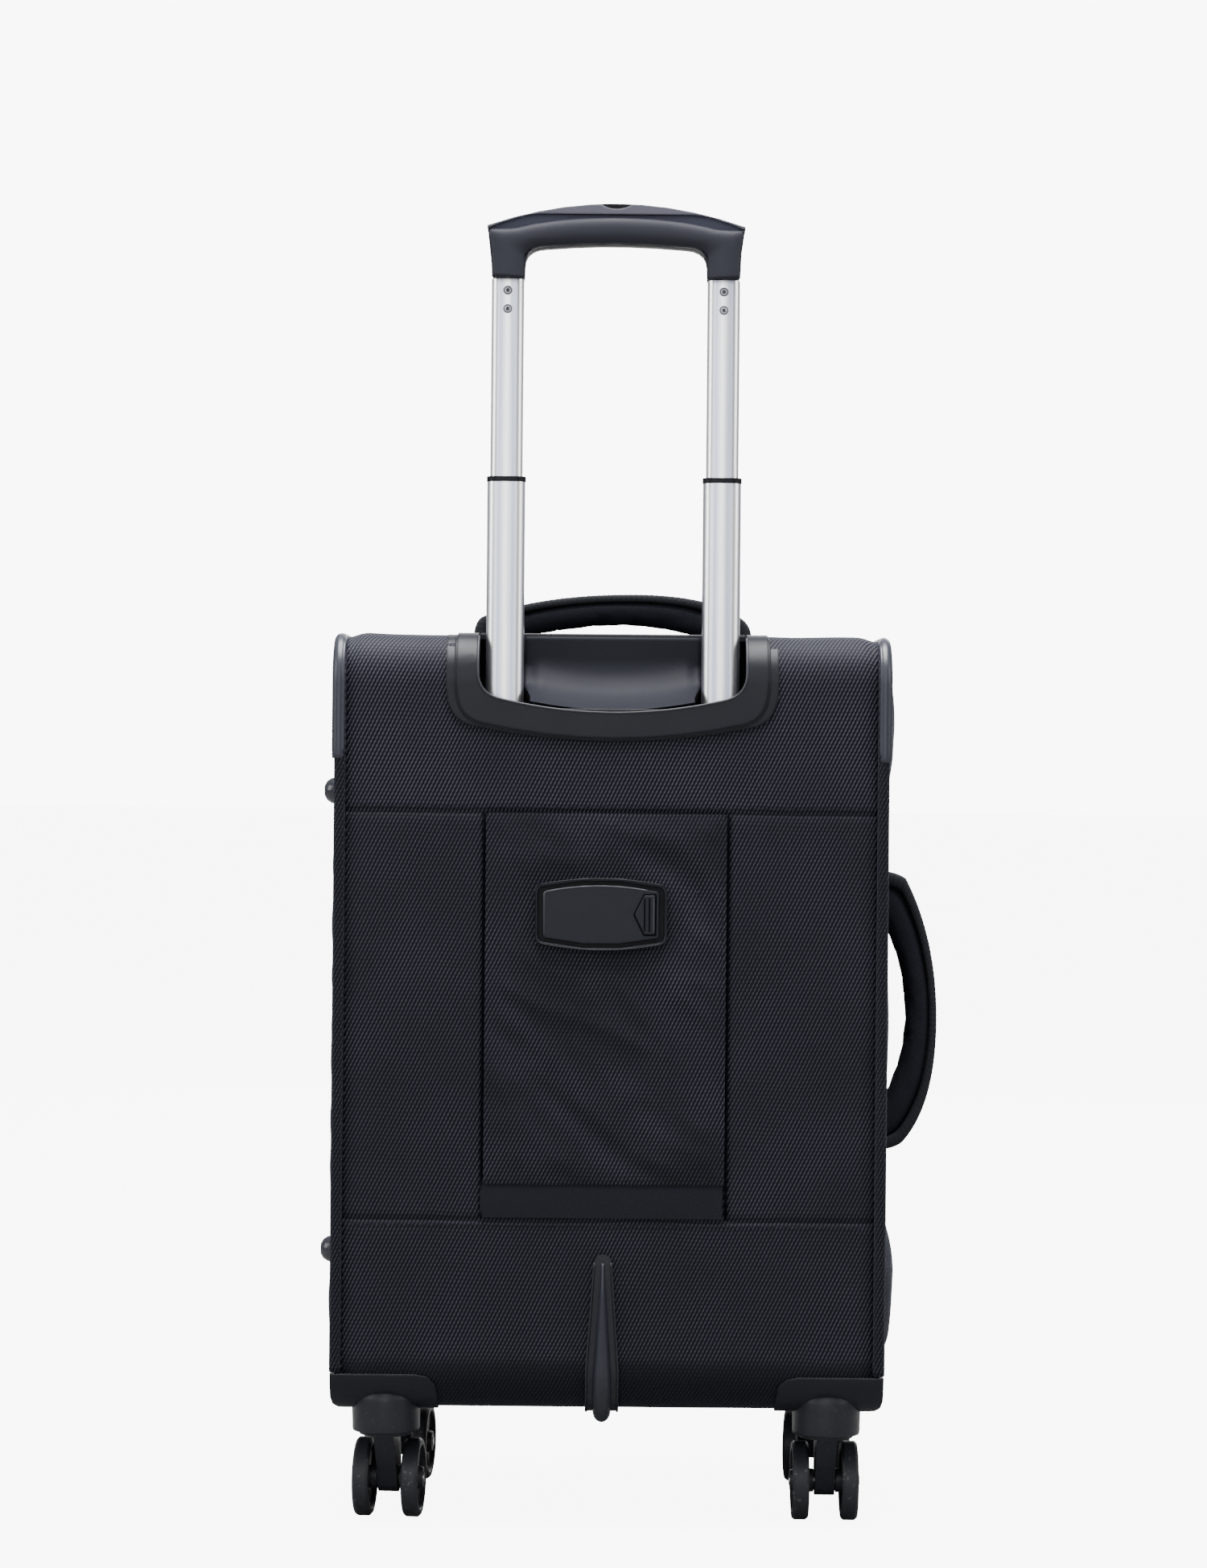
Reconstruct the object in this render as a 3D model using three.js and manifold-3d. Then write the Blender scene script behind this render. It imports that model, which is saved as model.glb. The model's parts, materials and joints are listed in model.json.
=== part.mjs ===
// A softside upright carry-on suitcase on four twin-wheel casters, with a two-stage trolley handle.
// Millimetres. X is across the case, Y runs from the trolley side (back) to the pocket side, Z is up.
import * as THREE from "three";
import { mergeVertices } from "three/addons/utils/BufferGeometryUtils.js";
import Module from "manifold-3d";

const wasm = await Module();
wasm.setup();

// ---- Driving dimensions ----
const GAP = 0.3; // between pieces that touch
const PAST = 5; // how far a cutting solid runs past what it cuts

const CASE_HALF = 172; // outer faces of the side panels
const CASE_BOTTOM = 64;
const CASE_TOP = 550;
const SHELL_DEPTH = 185;
const CASE_CORNER = 28; // rounding of the case in side view
const PANEL = 4; // fabric, foam and board together
const SIDE_PANEL = 3;
const SILL_TOP = 90; // lower edge of the main opening

const LID = { half: 171.5, bottom: 92, top: 545, depth: 20, wall: 3, corner: 12 };
const LID_BACK = SHELL_DEPTH + 1;
const LID_FACE = LID_BACK + LID.depth;

const CASTER_X = 139;
const CASTER_Y = 28; // from the back, and from the shell's front edge
const WHEEL_RADIUS = 24.7;
const AXLE_Z = 15.9; // heights are counted from a level the wheels reach a little below
const WHEEL_WIDTH = 10.4;
const WHEEL_IN = 10.35; // from the fork's middle to a wheel's inner face
const TRAIL = 16; // from the swivel axis to the axle
const CUP_BOTTOM = 49;
const LEG_WIDTH = 12.7;
const HOUSING = { inner: 106, outer: 173.2, deep: 62, top: 88, wall: 2.5 };

const TUBE_X = 68;
const TUBE_Y = 22;
const TUBE_WALL = 1.2;
const UPPER_TUBE = { wide: 20.4, deep: 12.8, bottom: 490, top: 775.4 };
const MIDDLE_TUBE = { wide: 23.8, deep: 17, bottom: 340, top: 647.6 };
const OUTER_TUBE = { wide: 27.2, deep: 20.4, bottom: 90, top: 502 };
const COLLAR = 3;
const RECESS = { half: 84.5, deep: 42, floor: 505, wall: 2.5, front: 50 };
const GRIP = { bottom: 775.7, depth: 28, crown: 822, shoulder: 808 };

const TAG = { x: -6, z: 376.7, wide: 82.7, high: 38.5, bulge: 3.7 };
const PATCH = { x: -3, half: 75.6, bottom: 187, top: 440 }; // the loose panel sewn on the back

// ---- Solids ----
function toSolid(geometry) {
  const bare = geometry.index ? geometry.toNonIndexed() : geometry.clone();
  bare.deleteAttribute("normal");
  bare.deleteAttribute("uv");
  const merged = mergeVertices(bare, 1e-3);
  return new wasm.Manifold(
    new wasm.Mesh({
      numProp: 3,
      vertProperties: new Float32Array(merged.attributes.position.array),
      triVerts: new Uint32Array(merged.index.array),
    }),
  );
}

function toGeometry(solid) {
  const mesh = solid.getMesh();
  const geometry = new THREE.BufferGeometry();
  geometry.setAttribute("position", new THREE.BufferAttribute(new Float32Array(mesh.vertProperties), 3));
  geometry.setIndex(new THREE.BufferAttribute(new Uint32Array(mesh.triVerts), 1));
  geometry.computeVertexNormals();
  return geometry;
}

function cut(from, ...tools) {
  return toGeometry(tools.reduce((solid, tool) => solid.subtract(toSolid(tool)), toSolid(from)));
}
const join = (...parts) => toGeometry(parts.map(toSolid).reduce((a, b) => a.add(b)));
const common = (...parts) => toGeometry(parts.map(toSolid).reduce((a, b) => a.intersect(b)));

// ---- Shapes ----
const X_AXIS = new THREE.Vector3(1, 0, 0);
const Y_AXIS = new THREE.Vector3(0, 1, 0);
const Z_AXIS = new THREE.Vector3(0, 0, 1);

function straight(shape, depth, curveSegments) {
  return new THREE.ExtrudeGeometry(shape, { depth, bevelEnabled: false, curveSegments });
}

// A shape drawn in (Y, Z), run along X.
function alongX(shape, from, to, arcs = 4) {
  const turn = new THREE.Matrix4().makeBasis(Y_AXIS, Z_AXIS, X_AXIS);
  return straight(shape, to - from, arcs).applyMatrix4(turn).translate(from, 0, 0);
}

// A shape drawn in (X, Z), run along Y.
function alongY(shape, from, to, arcs = 4, bevel = 0) {
  const geometry = new THREE.ExtrudeGeometry(shape, {
    depth: to - from - 2 * bevel,
    bevelEnabled: bevel > 0,
    bevelThickness: bevel,
    bevelSize: bevel,
    bevelOffset: -bevel,
    bevelSegments: 2,
    curveSegments: arcs,
  });
  const towardsBack = Y_AXIS.clone().negate();
  geometry.applyMatrix4(new THREE.Matrix4().makeBasis(X_AXIS, Z_AXIS, towardsBack));
  return geometry.translate(0, to - bevel, 0);
}

// A shape drawn in (X, Y), run along Z.
function alongZ(shape, from, to, arcs = 4) {
  return straight(shape, to - from, arcs).translate(0, 0, from);
}

function block(x0, x1, y0, y1, z0, z1) {
  const geometry = new THREE.BoxGeometry(x1 - x0, y1 - y0, z1 - z0);
  return geometry.translate((x0 + x1) / 2, (y0 + y1) / 2, (z0 + z1) / 2);
}

// A cylinder about Z.
function post(radius, z0, z1, x = 0, y = 0, sides = 16, topRadius = radius) {
  const geometry = new THREE.CylinderGeometry(topRadius, radius, z1 - z0, sides).rotateX(Math.PI / 2);
  return geometry.translate(x, y, (z0 + z1) / 2);
}

function roundedRect(x0, x1, y0, y1, radius) {
  const shape = new THREE.Shape();
  shape.absarc(x1 - radius, y1 - radius, radius, 0, Math.PI / 2);
  shape.absarc(x0 + radius, y1 - radius, radius, Math.PI / 2, Math.PI);
  shape.absarc(x0 + radius, y0 + radius, radius, Math.PI, 1.5 * Math.PI);
  shape.absarc(x1 - radius, y0 + radius, radius, 1.5 * Math.PI, 2 * Math.PI);
  shape.closePath();
  return shape;
}

// A shape through points. A later point may carry the control point of the curve to it.
function outline(first, ...rest) {
  const shape = new THREE.Shape();
  shape.moveTo(...first);
  for (const [x, y, controlX, controlY] of rest) {
    if (controlX === undefined) shape.lineTo(x, y);
    else shape.quadraticCurveTo(controlX, controlY, x, y);
  }
  return shape;
}

// The case in side view, drawn inside its true outline by inset: rounded but for the front's top edge.
function caseOutline(inset) {
  const radius = CASE_CORNER - inset;
  const [back, front] = [CASE_CORNER, SHELL_DEPTH - CASE_CORNER];
  const [low, high] = [CASE_BOTTOM + CASE_CORNER, CASE_TOP - CASE_CORNER];
  const shape = new THREE.Shape();
  shape.moveTo(SHELL_DEPTH - inset, CASE_TOP - inset);
  shape.lineTo(back, CASE_TOP - inset);
  shape.absarc(back, high, radius, Math.PI / 2, Math.PI);
  shape.absarc(back, low, radius, Math.PI, 1.5 * Math.PI);
  shape.absarc(front, low, radius, 1.5 * Math.PI, 2 * Math.PI);
  shape.closePath();
  return shape;
}

// A skin that lies on the outside of the case, from near to far off it, across x0 to x1.
function skin(near, far, x0, x1) {
  return cut(alongX(caseOutline(-far), x0, x1), alongX(caseOutline(-near), x0 - PAST, x1 + PAST));
}

// A closed solid through rings of points, all with the same count, with flat ends.
function loft(rings) {
  const count = rings[0].length;
  const last = (rings.length - 1) * count;
  const index = [];
  for (let start = 0; start < last; start += count)
    for (let k = 0; k < count; k++) {
      const [a, b] = [start + k, start + ((k + 1) % count)];
      index.push(a, b, b + count, a, b + count, a + count);
    }
  for (let k = 1; k + 1 < count; k++) index.push(0, k + 1, k, last, last + k, last + k + 1);
  const geometry = new THREE.BufferGeometry().setFromPoints(rings.flat());
  geometry.setIndex(index);
  return geometry;
}

// ---- The group and its materials ----
const suitcase = new THREE.Group();
function paint(color, roughness, metalness = 0) {
  return new THREE.MeshStandardMaterial({ color, roughness, metalness });
}
const twill = paint(0x1b1c20, 0.85);
const smoothCloth = paint(0x16171a, 0.9);
const lining = paint(0x3a3b40, 0.9);
const blackPlastic = paint(0x1d1e21, 0.45);
const glossPlastic = paint(0x26272b, 0.25);
const aluminium = paint(0xc9cbd0, 0.3, 1);
const steel = paint(0x9a9c9f, 0.35, 1);
const tyreRubber = paint(0x202124, 0.6);

function add(name, geometry, material, parent = suitcase) {
  const mesh = new THREE.Mesh(geometry, material);
  mesh.name = name;
  parent.add(mesh);
  return mesh;
}

// A piece made for the right side, and its mirror image on the left.
function addPair(name, geometry, material, parent = suitcase) {
  add(name + "_right", geometry, material, parent);
  add(name + "_left", geometry, material, parent).scale.x = -1;
}

// ---- Fabric shell ----
function cornerCuts(x0, x1) {
  const top = HOUSING.top + GAP;
  const deep = HOUSING.deep + GAP;
  return [
    block(x0, x1, -PAST, deep, CASE_BOTTOM - PAST, top),
    block(x0, x1, SHELL_DEPTH - deep, SHELL_DEPTH + PAST, CASE_BOTTOM - PAST, top),
  ];
}

function wrapPanel() {
  const half = CASE_HALF - SIDE_PANEL - GAP;
  const housingEdge = HOUSING.inner - GAP;
  const trayHalf = RECESS.half + RECESS.wall + GAP;
  const trayBottom = RECESS.floor - RECESS.wall - GAP;
  const lining = SHELL_DEPTH - 2 * PANEL;
  return cut(
    alongX(caseOutline(0), -half, half, 5),
    alongX(caseOutline(PANEL), -half - PAST, half + PAST, 5),
    block(-half - PAST, half + PAST, lining, SHELL_DEPTH + PAST, SILL_TOP, CASE_TOP - PANEL),
    block(-trayHalf, trayHalf, -PAST, RECESS.deep + RECESS.wall + GAP, trayBottom, CASE_TOP + PAST),
    ...cornerCuts(housingEdge, half + PAST),
    ...cornerCuts(-half - PAST, -housingEdge),
  );
}
add("wrap_panel", wrapPanel(), twill);

function sidePanel() {
  const inner = CASE_HALF - SIDE_PANEL;
  return cut(alongX(caseOutline(0), inner, CASE_HALF, 5), ...cornerCuts(inner - PAST, CASE_HALF + PAST));
}
addPair("side_panel", sidePanel(), twill);

const patchShape = roundedRect(PATCH.x - PATCH.half, PATCH.x + PATCH.half, PATCH.bottom, PATCH.top, 2);
add("centre_panel", alongY(patchShape, -1.8, -GAP, 1), twill);

function carryHandle(rise, skew) {
  const deep = 34;
  const gapRise = rise - 19;
  const shape = outline(
    [-89, GAP],
    [-85, 0.48 * rise, -90, 0.3 * rise],
    [skew, rise, -46, rise],
    [85, 0.44 * rise, 58 + skew / 2, rise],
    [89, GAP, 90, 0.25 * rise],
    [64, GAP],
    [skew, gapRise, 40, gapRise],
    [-64, GAP, -40, gapRise],
  );
  return alongY(shape, -deep / 2, deep / 2, 5);
}
add("top_handle", carryHandle(28.3, 13), smoothCloth).position.set(0, 92, CASE_TOP);
const sideHandle = add("side_handle", carryHandle(39, 6), smoothCloth);
sideHandle.rotation.y = Math.PI / 2;
sideHandle.position.set(CASE_HALF, 92, 312.5);

// ---- Lid, pockets and zip sliders ----
function lidShell() {
  const { half, bottom, top, wall, corner } = LID;
  const shape = (inset) =>
    roundedRect(-half + inset, half - inset, bottom + inset, top - inset, corner - inset);
  const hollow = alongY(shape(wall), LID_BACK - PAST, LID_FACE - wall);
  return cut(alongY(shape(0), LID_BACK, LID_FACE), hollow);
}
const POCKET_HALF = 142;
const POCKET_BEVEL = 8;
const POCKET_WALL = 2.5;
const ZIP_CHANNEL = 14;
const LOWER_POCKET = { bottom: 108, top: 322, bulge: 22 };
const UPPER_POCKET = { bottom: 322 + ZIP_CHANNEL, top: 512, bulge: 15 };

function pocket({ bottom, top, bulge }) {
  const base = LID_FACE + GAP;
  const pillow = (inset) => {
    const half = POCKET_HALF - inset;
    const shape = roundedRect(-half, half, bottom + inset, top - inset, 18 - inset);
    return alongY(shape, base - 2 * POCKET_BEVEL, base + bulge - inset, 3, POCKET_BEVEL - inset);
  };
  const behind = block(-CASE_HALF, CASE_HALF, base - 4 * POCKET_BEVEL, base, 0, CASE_TOP);
  return cut(pillow(0), pillow(POCKET_WALL), behind);
}
const lid = new THREE.Group();
suitcase.add(lid);
add("lid_shell", lidShell(), twill, lid);
add("lower_pocket", pocket(LOWER_POCKET), twill, lid);
add("upper_pocket", pocket(UPPER_POCKET), twill, lid);

// A zip slider with its pull tab lying along the zip, drawn about the slider, proud along +Z.
function zipSlider() {
  const body = block(-5, 5, -3.5, 3.5, 0, 3.2);
  const bridge = block(-4, 4, -1, 1, 3, 4.2);
  const tab = block(3, 30, -2.6, 2.6, 1.6, 3.2);
  return join(body, bridge, tab);
}
function addSlider(name, x, z, towards) {
  const slider = add(name, zipSlider(), steel, lid);
  slider.rotation.set(-Math.PI / 2, 0, towards < 0 ? Math.PI : 0);
  slider.position.set(x, LID_FACE + GAP, z);
}
const SLIDER_X = 126;
addSlider("lower_pocket_slider", SLIDER_X, LOWER_POCKET.top + ZIP_CHANNEL / 2, -1);
addSlider("upper_pocket_slider", SLIDER_X, UPPER_POCKET.top + ZIP_CHANNEL / 2, -1);
for (const [name, x, turn] of [["main_slider_right", 66, 0], ["main_slider_left", 54, Math.PI]]) {
  const slider = add(name, zipSlider(), steel, lid);
  slider.rotation.z = turn;
  slider.position.set(x, LID_BACK + 4.5, LID.top + GAP);
}

// ---- Trolley ----
function tube({ wide, deep, bottom, top }, radius) {
  const [x, y] = [wide / 2, deep / 2];
  const ring = (inset) =>
    roundedRect(-x + inset, x - inset, -y + inset, y - inset, radius - inset);
  return cut(alongZ(ring(0), bottom, top, 3), alongZ(ring(TUBE_WALL), bottom - PAST, top + PAST, 3));
}
function addTubes(name, size, radius) {
  for (const [side, sign] of [["left", -1], ["right", 1]])
    add(name + "_" + side, tube(size, radius), aluminium).position.set(sign * TUBE_X, TUBE_Y, 0);
}
addTubes("upper_tube", UPPER_TUBE, 5);
addTubes("middle_tube", MIDDLE_TUBE, 6);
addTubes("outer_tube", OUTER_TUBE, 7);

function collar() {
  const ring = (grow, radius, { wide, deep }) =>
    roundedRect(-wide / 2 - grow, wide / 2 + grow, -deep / 2 - grow, deep / 2 + grow, radius);
  const bottom = MIDDLE_TUBE.top + GAP;
  return cut(
    alongZ(ring(0.4, 6.4, MIDDLE_TUBE), bottom, bottom + COLLAR, 3),
    alongZ(ring(GAP, 5.3, UPPER_TUBE), bottom - PAST, bottom + COLLAR + PAST, 3),
  );
}
for (const [side, sign] of [["left", -1], ["right", 1]])
  add("tube_collar_" + side, collar(), blackPlastic).position.set(sign * TUBE_X, TUBE_Y, 0);

// Where the outer tubes stand on the case's floor.
function tubeBase() {
  const socket = (sign) => {
    const { wide, deep, bottom } = OUTER_TUBE;
    const x = sign * TUBE_X;
    return block(
      x - wide / 2 - GAP, x + wide / 2 + GAP,
      TUBE_Y - deep / 2 - GAP, TUBE_Y + deep / 2 + GAP,
      bottom - GAP, bottom + 20,
    );
  };
  const inCase = alongX(caseOutline(PANEL + GAP), -88, 88);
  const bracket = common(block(-88, 88, 8, 38, CASE_BOTTOM, OUTER_TUBE.bottom + 8), inCase);
  return cut(bracket, socket(-1), socket(1));
}
add("tube_base", tubeBase(), blackPlastic);

// The grip drops into a tray in the back's top edge, with a rim that follows the rounded edge.
function recessHousing() {
  const { half, deep, floor, wall, front } = RECESS;
  const [rimOut, stepOut] = [104, 97.5];
  // A U whose lower corners are turned inwards by inset, and whose lower edge sags by sag.
  const rimShape = (side, corner, low, inset, sag) => {
    const turned = low + (2 * sag * inset) / (side - inset);
    return outline(
      [-side, CASE_TOP + 20],
      [-side, corner],
      [-side + inset, low, -side, turned],
      [side - inset, low, 0, low - 2 * sag],
      [side, corner, side, turned],
      [side, CASE_TOP + 20],
    );
  };
  const ring = (thick, side, shape, reach) =>
    common(skin(GAP, thick, -side, side), alongY(shape, -PAST, reach, 8));
  const flange = ring(1.5, rimOut, rimShape(rimOut, 519, 493.8, 17, 9.3), front);
  const raised = ring(2.7, stepOut, rimShape(stepOut, 520, 495.6, 16, 9), front - 2);
  const opening = rimShape(half, 528, 510.6, 14, 8.1);
  const rim = cut(join(flange, raised), alongY(opening, -2 * PAST, deep, 8));
  const tray = cut(
    block(-half - wall, half + wall, -PAST, deep + wall, floor - wall, CASE_TOP + PAST),
    block(-half, half, -2 * PAST, deep, floor, CASE_TOP + 2 * PAST),
  );
  const inCase = common(tray, alongX(caseOutline(-2.7), -rimOut, rimOut));
  const scoopShape = outline(
    [2, floor - 1],
    [deep + 1, floor - 1],
    [deep + 0.4, 546],
    [2, floor - 0.5, deep, floor + 1],
  );
  const hole = ({ wide, deep: tubeDeep }, x) =>
    alongZ(
      roundedRect(
        x - wide / 2 - 0.8, x + wide / 2 + 0.8,
        TUBE_Y - tubeDeep / 2 - 0.8, TUBE_Y + tubeDeep / 2 + 0.8, 6,
      ),
      floor - 2 * wall,
      floor + wall,
      3,
    );
  return cut(
    join(rim, inCase, alongX(scoopShape, -52, 52, 10)),
    hole(MIDDLE_TUBE, -TUBE_X),
    hole(MIDDLE_TUBE, TUBE_X),
  );
}
add("recess_housing", recessHousing(), blackPlastic);

// The grip plugs into the upper tubes, and its hollow holds the release bar under a cap.
const BAR = { bottom: 804, top: 808.4, half: 70.5, travel: 3 };

function gripBody() {
  const back = TUBE_Y - GRIP.depth / 2;
  const legs = (...over) =>
    outline(
      [-77.4, GRIP.bottom],
      [-57.6, GRIP.bottom],
      [-57.4, 784],
      [-44, 795.6, -57, 795],
      [44, 795.6, 0, 799.6],
      [57.4, 784, 57, 795],
      [57.6, GRIP.bottom],
      [77.4, GRIP.bottom],
      [80.7, 805.4, 77.8, 790],
      ...over,
    );
  const bellyShape = legs([64, 805.4], [0, 812.6, 44, 812.4], [-64, 805.4, -44, 812.4], [-80.7, 805.4]);
  const coreShape = legs(
    [66, 810.8, 74, 808.6],
    [47, 814.6],
    [-47, 814.6],
    [-66, 810.8],
    [-80.7, 805.4, -74, 808.6],
  );
  const belly = join(
    alongY(bellyShape, back, back + 12, 5, 3),
    alongY(coreShape, back + 7, back + GRIP.depth, 5, 3),
  );
  const plug = (x) =>
    alongZ(roundedRect(x - 8.3, x + 8.3, TUBE_Y - 4.9, TUBE_Y + 4.9, 3), 748, GRIP.bottom + 2, 2);
  const rodHole = (x) => post(2.8, 740, BAR.bottom, x, TUBE_Y, 8);
  const channel = block(
    -BAR.half - GAP, BAR.half + GAP,
    TUBE_Y - 5, TUBE_Y + 5,
    BAR.bottom - BAR.travel - 0.5, GRIP.crown + PAST,
  );
  return cut(join(belly, plug(-TUBE_X), plug(TUBE_X)), channel, rodHole(-TUBE_X), rodHole(TUBE_X));
}
const BUTTON = { half: 12, halfDeep: 6.5, top: 820.6 };
const CAP_DEPTH = 27;

function gripCap() {
  const { shoulder, crown } = GRIP;
  const back = TUBE_Y - CAP_DEPTH / 2;
  const front = TUBE_Y + CAP_DEPTH / 2;
  const shape = outline(
    [-81, shoulder],
    [81, shoulder, 0, 2 * crown - shoulder],
    [81, shoulder - 2],
    [66, 811.4, 74, 809.4],
    [47, 815.4, 58, 814.8],
    [-47, 815.4],
    [-66, 811.4, -58, 814.8],
    [-81, shoulder - 2, -74, 809.4],
  );
  const cap = alongY(shape, back, front, 10);
  const [half, halfDeep] = [BUTTON.half + GAP, BUTTON.halfDeep + GAP];
  const thumbNotch = outline([-half, crown + 1], [half, crown + 1, 0, crown - 7.5]);
  return cut(
    cap,
    block(-half, half, TUBE_Y - halfDeep, TUBE_Y + halfDeep, 800, 830),
    alongY(thumbNotch, back - PAST, back + 1.8, 8),
    alongY(thumbNotch, front - 1.8, front + PAST, 8),
  );
}
add("grip_body", gripBody(), blackPlastic);
add("grip_cap", gripCap(), blackPlastic);
add(
  "release_button",
  block(
    -BUTTON.half, BUTTON.half,
    TUBE_Y - BUTTON.halfDeep + 2, TUBE_Y + BUTTON.halfDeep - 2,
    BAR.top + GAP, BUTTON.top,
  ),
  blackPlastic,
);
const rod = (x) => post(2.2, UPPER_TUBE.bottom + 3, BAR.bottom + 1, x, TUBE_Y, 8);
const bar = block(-BAR.half, BAR.half, TUBE_Y - 4, TUBE_Y + 4, BAR.bottom, BAR.top);
add("release_bar", join(bar, rod(-TUBE_X), rod(TUBE_X)), steel);

// ---- Casters ----
// The right back housing: a corner shell that follows the case's rounding, with the caster's cup below.
function wheelHousing() {
  const { inner, outer, deep, top, wall } = HOUSING;
  const proud = outer - CASE_HALF;
  const low = CASE_BOTTOM - proud;
  const front = outline(
    [inner, low],
    [outer - 10, low],
    [outer, low + 10, outer, low],
    [outer, top],
    [inner + 14, top],
    [inner, top - 14, inner, top],
  );
  const outside = common(alongX(caseOutline(-proud), inner, outer, 5), alongY(front, -PAST, deep, 3));
  const hollow = common(
    alongX(caseOutline(wall - proud), inner - PAST, outer - wall, 5),
    block(inner - PAST, outer - wall, -PAST, deep + PAST, low, top + PAST),
  );
  const cup = post(21.2, CUP_BOTTOM, CASE_BOTTOM + 18, CASTER_X, CASTER_Y, 20, 22.4);
  const inCase = common(cup, alongX(caseOutline(-proud - 30), inner, outer + 30));
  const pinHole = post(4.4, CUP_BOTTOM - PAST, top + PAST, CASTER_X, CASTER_Y, 12);
  return cut(join(cut(outside, hollow), inCase), pinHole);
}
const housings = { back: new THREE.Group(), front: new THREE.Group() };
housings.front.position.y = SHELL_DEPTH;
housings.front.scale.y = -1;
for (const [place, group] of Object.entries(housings)) {
  suitcase.add(group);
  addPair("wheel_housing_" + place, wheelHousing(), blackPlastic, group);
}

function fork() {
  const disc = post(17, CUP_BOTTOM - 2.4, CUP_BOTTOM - 0.4, 0, 0, 20);
  const pin = post(4, CUP_BOTTOM - 1, 86, 0, 0, 12);
  const side = outline([-12, CUP_BOTTOM - 2], [16, CUP_BOTTOM - 2], [25.5, AXLE_Z, 26, 40]);
  side.absarc(TRAIL, AXLE_Z, 9.5, 0, -Math.PI, true);
  side.quadraticCurveTo(-5, 37, -12, CUP_BOTTOM - 2);
  const leg = alongX(side, -LEG_WIDTH / 2, LEG_WIDTH / 2, 4);
  const bore = post(3.3, -20, 20, 0, 0, 12).rotateY(Math.PI / 2).translate(0, TRAIL, AXLE_Z);
  return cut(join(disc, pin, leg), bore);
}

// A wheel about X with a facet at its lowest point, its inner face at x = 0, and openings in its web.
const SPOKES = 6;
function wheel() {
  const sides = 24;
  const [bore, hub, rim] = [3.3, 7.4, WHEEL_RADIUS / Math.cos(Math.PI / sides)];
  const [webIn, webOut] = [2.6, WHEEL_WIDTH - 2.6];
  const profile = [
    [bore, -3.4], [hub, -3.4], [hub, webIn], [rim - 5.4, webIn], [rim - 4.6, 0], [rim - 1.4, 0],
    [rim, 1.6], [rim, WHEEL_WIDTH - 1.6], [rim - 1.4, WHEEL_WIDTH], [rim - 4.6, WHEEL_WIDTH],
    [rim - 5.4, webOut], [hub, webOut], [hub - 1, WHEEL_WIDTH + 1.2], [bore, WHEEL_WIDTH + 1.2],
    [bore, -3.4],
  ];
  const turned = new THREE.LatheGeometry(profile.map(([r, x]) => new THREE.Vector2(r, x)), sides);
  const solid = turned.rotateY(Math.PI / sides).rotateZ(-Math.PI / 2);
  const openings = [];
  for (let k = 0; k < SPOKES; k++) {
    const opening = outline([-1.6, 9.4], [1.6, 9.4], [5, 17.6], [-5, 17.6]);
    openings.push(alongX(opening, -PAST, WHEEL_WIDTH + PAST).rotateX((2 * Math.PI * k) / SPOKES));
  }
  return cut(solid, ...openings);
}
function axle() {
  return post(3, -22.5, 22.5, 0, 0, 12).rotateY(Math.PI / 2);
}

const CASTERS = [
  ["back_left", -CASTER_X, CASTER_Y, -5],
  ["back_right", CASTER_X, CASTER_Y, 0],
  ["front_left", -CASTER_X, SHELL_DEPTH - CASTER_Y, -6],
  ["front_right", CASTER_X, SHELL_DEPTH - CASTER_Y, -8],
];
for (const [name, x, y, turn] of CASTERS) {
  const caster = new THREE.Group();
  caster.position.set(x, y, 0);
  caster.rotation.z = THREE.MathUtils.degToRad(turn);
  suitcase.add(caster);
  add("caster_fork_" + name, fork(), blackPlastic, caster);
  const running = new THREE.Group();
  running.position.set(0, TRAIL, AXLE_Z);
  caster.add(running);
  add("axle_" + name, axle(), steel, running);
  const outside = add("wheel_" + name + "_b", wheel(), tyreRubber, running);
  outside.position.x = WHEEL_IN;
  const inside = add("wheel_" + name + "_a", wheel(), tyreRubber, running);
  inside.position.x = -WHEEL_IN;
  inside.scale.x = -1;
}

// ---- Skid rail, feet and tag ----
// A rounded ridge on a flat flange, widening downwards and turning under the case's lower edge.
function skidRail() {
  const [x, top] = [-3, 164];
  const [turn, low] = [CASE_BOTTOM + CASE_CORNER, 40];
  const flangeShape = outline(
    [x - 10.4, low],
    [x - 10, turn],
    [x - 5.6, top - 6],
    [x, top, x - 5.2, top],
    [x + 5.6, top - 6, x + 5.2, top],
    [x + 10, turn],
    [x + 10.4, low],
  );
  const flange = common(skin(GAP, 2.1, x - 12, x + 12), alongY(flangeShape, -2 * PAST, 56));
  const steps = 22;
  const straightRun = top - 5 - turn;
  const bendRun = (Math.PI / 2) * CASE_CORNER;
  const rings = [];
  for (let k = 0; k <= steps; k++) {
    const run = ((straightRun + bendRun + 24) * k) / steps;
    const angle = Math.min(Math.max(run - straightRun, 0) / CASE_CORNER, Math.PI / 2);
    const beyond = Math.max(0, run - straightRun - bendRun);
    const fade = Math.min(1, k / 4, (steps - k) / 3);
    const half = 1 + 5 * Math.min(1, run / 70) * fade;
    const high = 2.2 + 5.6 * Math.sin((Math.PI / 2) * fade);
    const out = new THREE.Vector3(0, -Math.cos(angle), -Math.sin(angle));
    const centre = new THREE.Vector3(x, CASE_CORNER + beyond, turn + Math.max(0, straightRun - run));
    const ring = [];
    for (let s = 0; s <= 8; s++) {
      const a = (Math.PI * s) / 8;
      const lift = CASE_CORNER + 0.9 + high * Math.sin(a);
      const across = new THREE.Vector3(half * Math.cos(a), 0, 0);
      ring.push(centre.clone().addScaledVector(out, lift).add(across));
    }
    rings.push(ring);
  }
  return join(flange, loft(rings));
}
add("skid_rail", skidRail(), blackPlastic);

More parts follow.
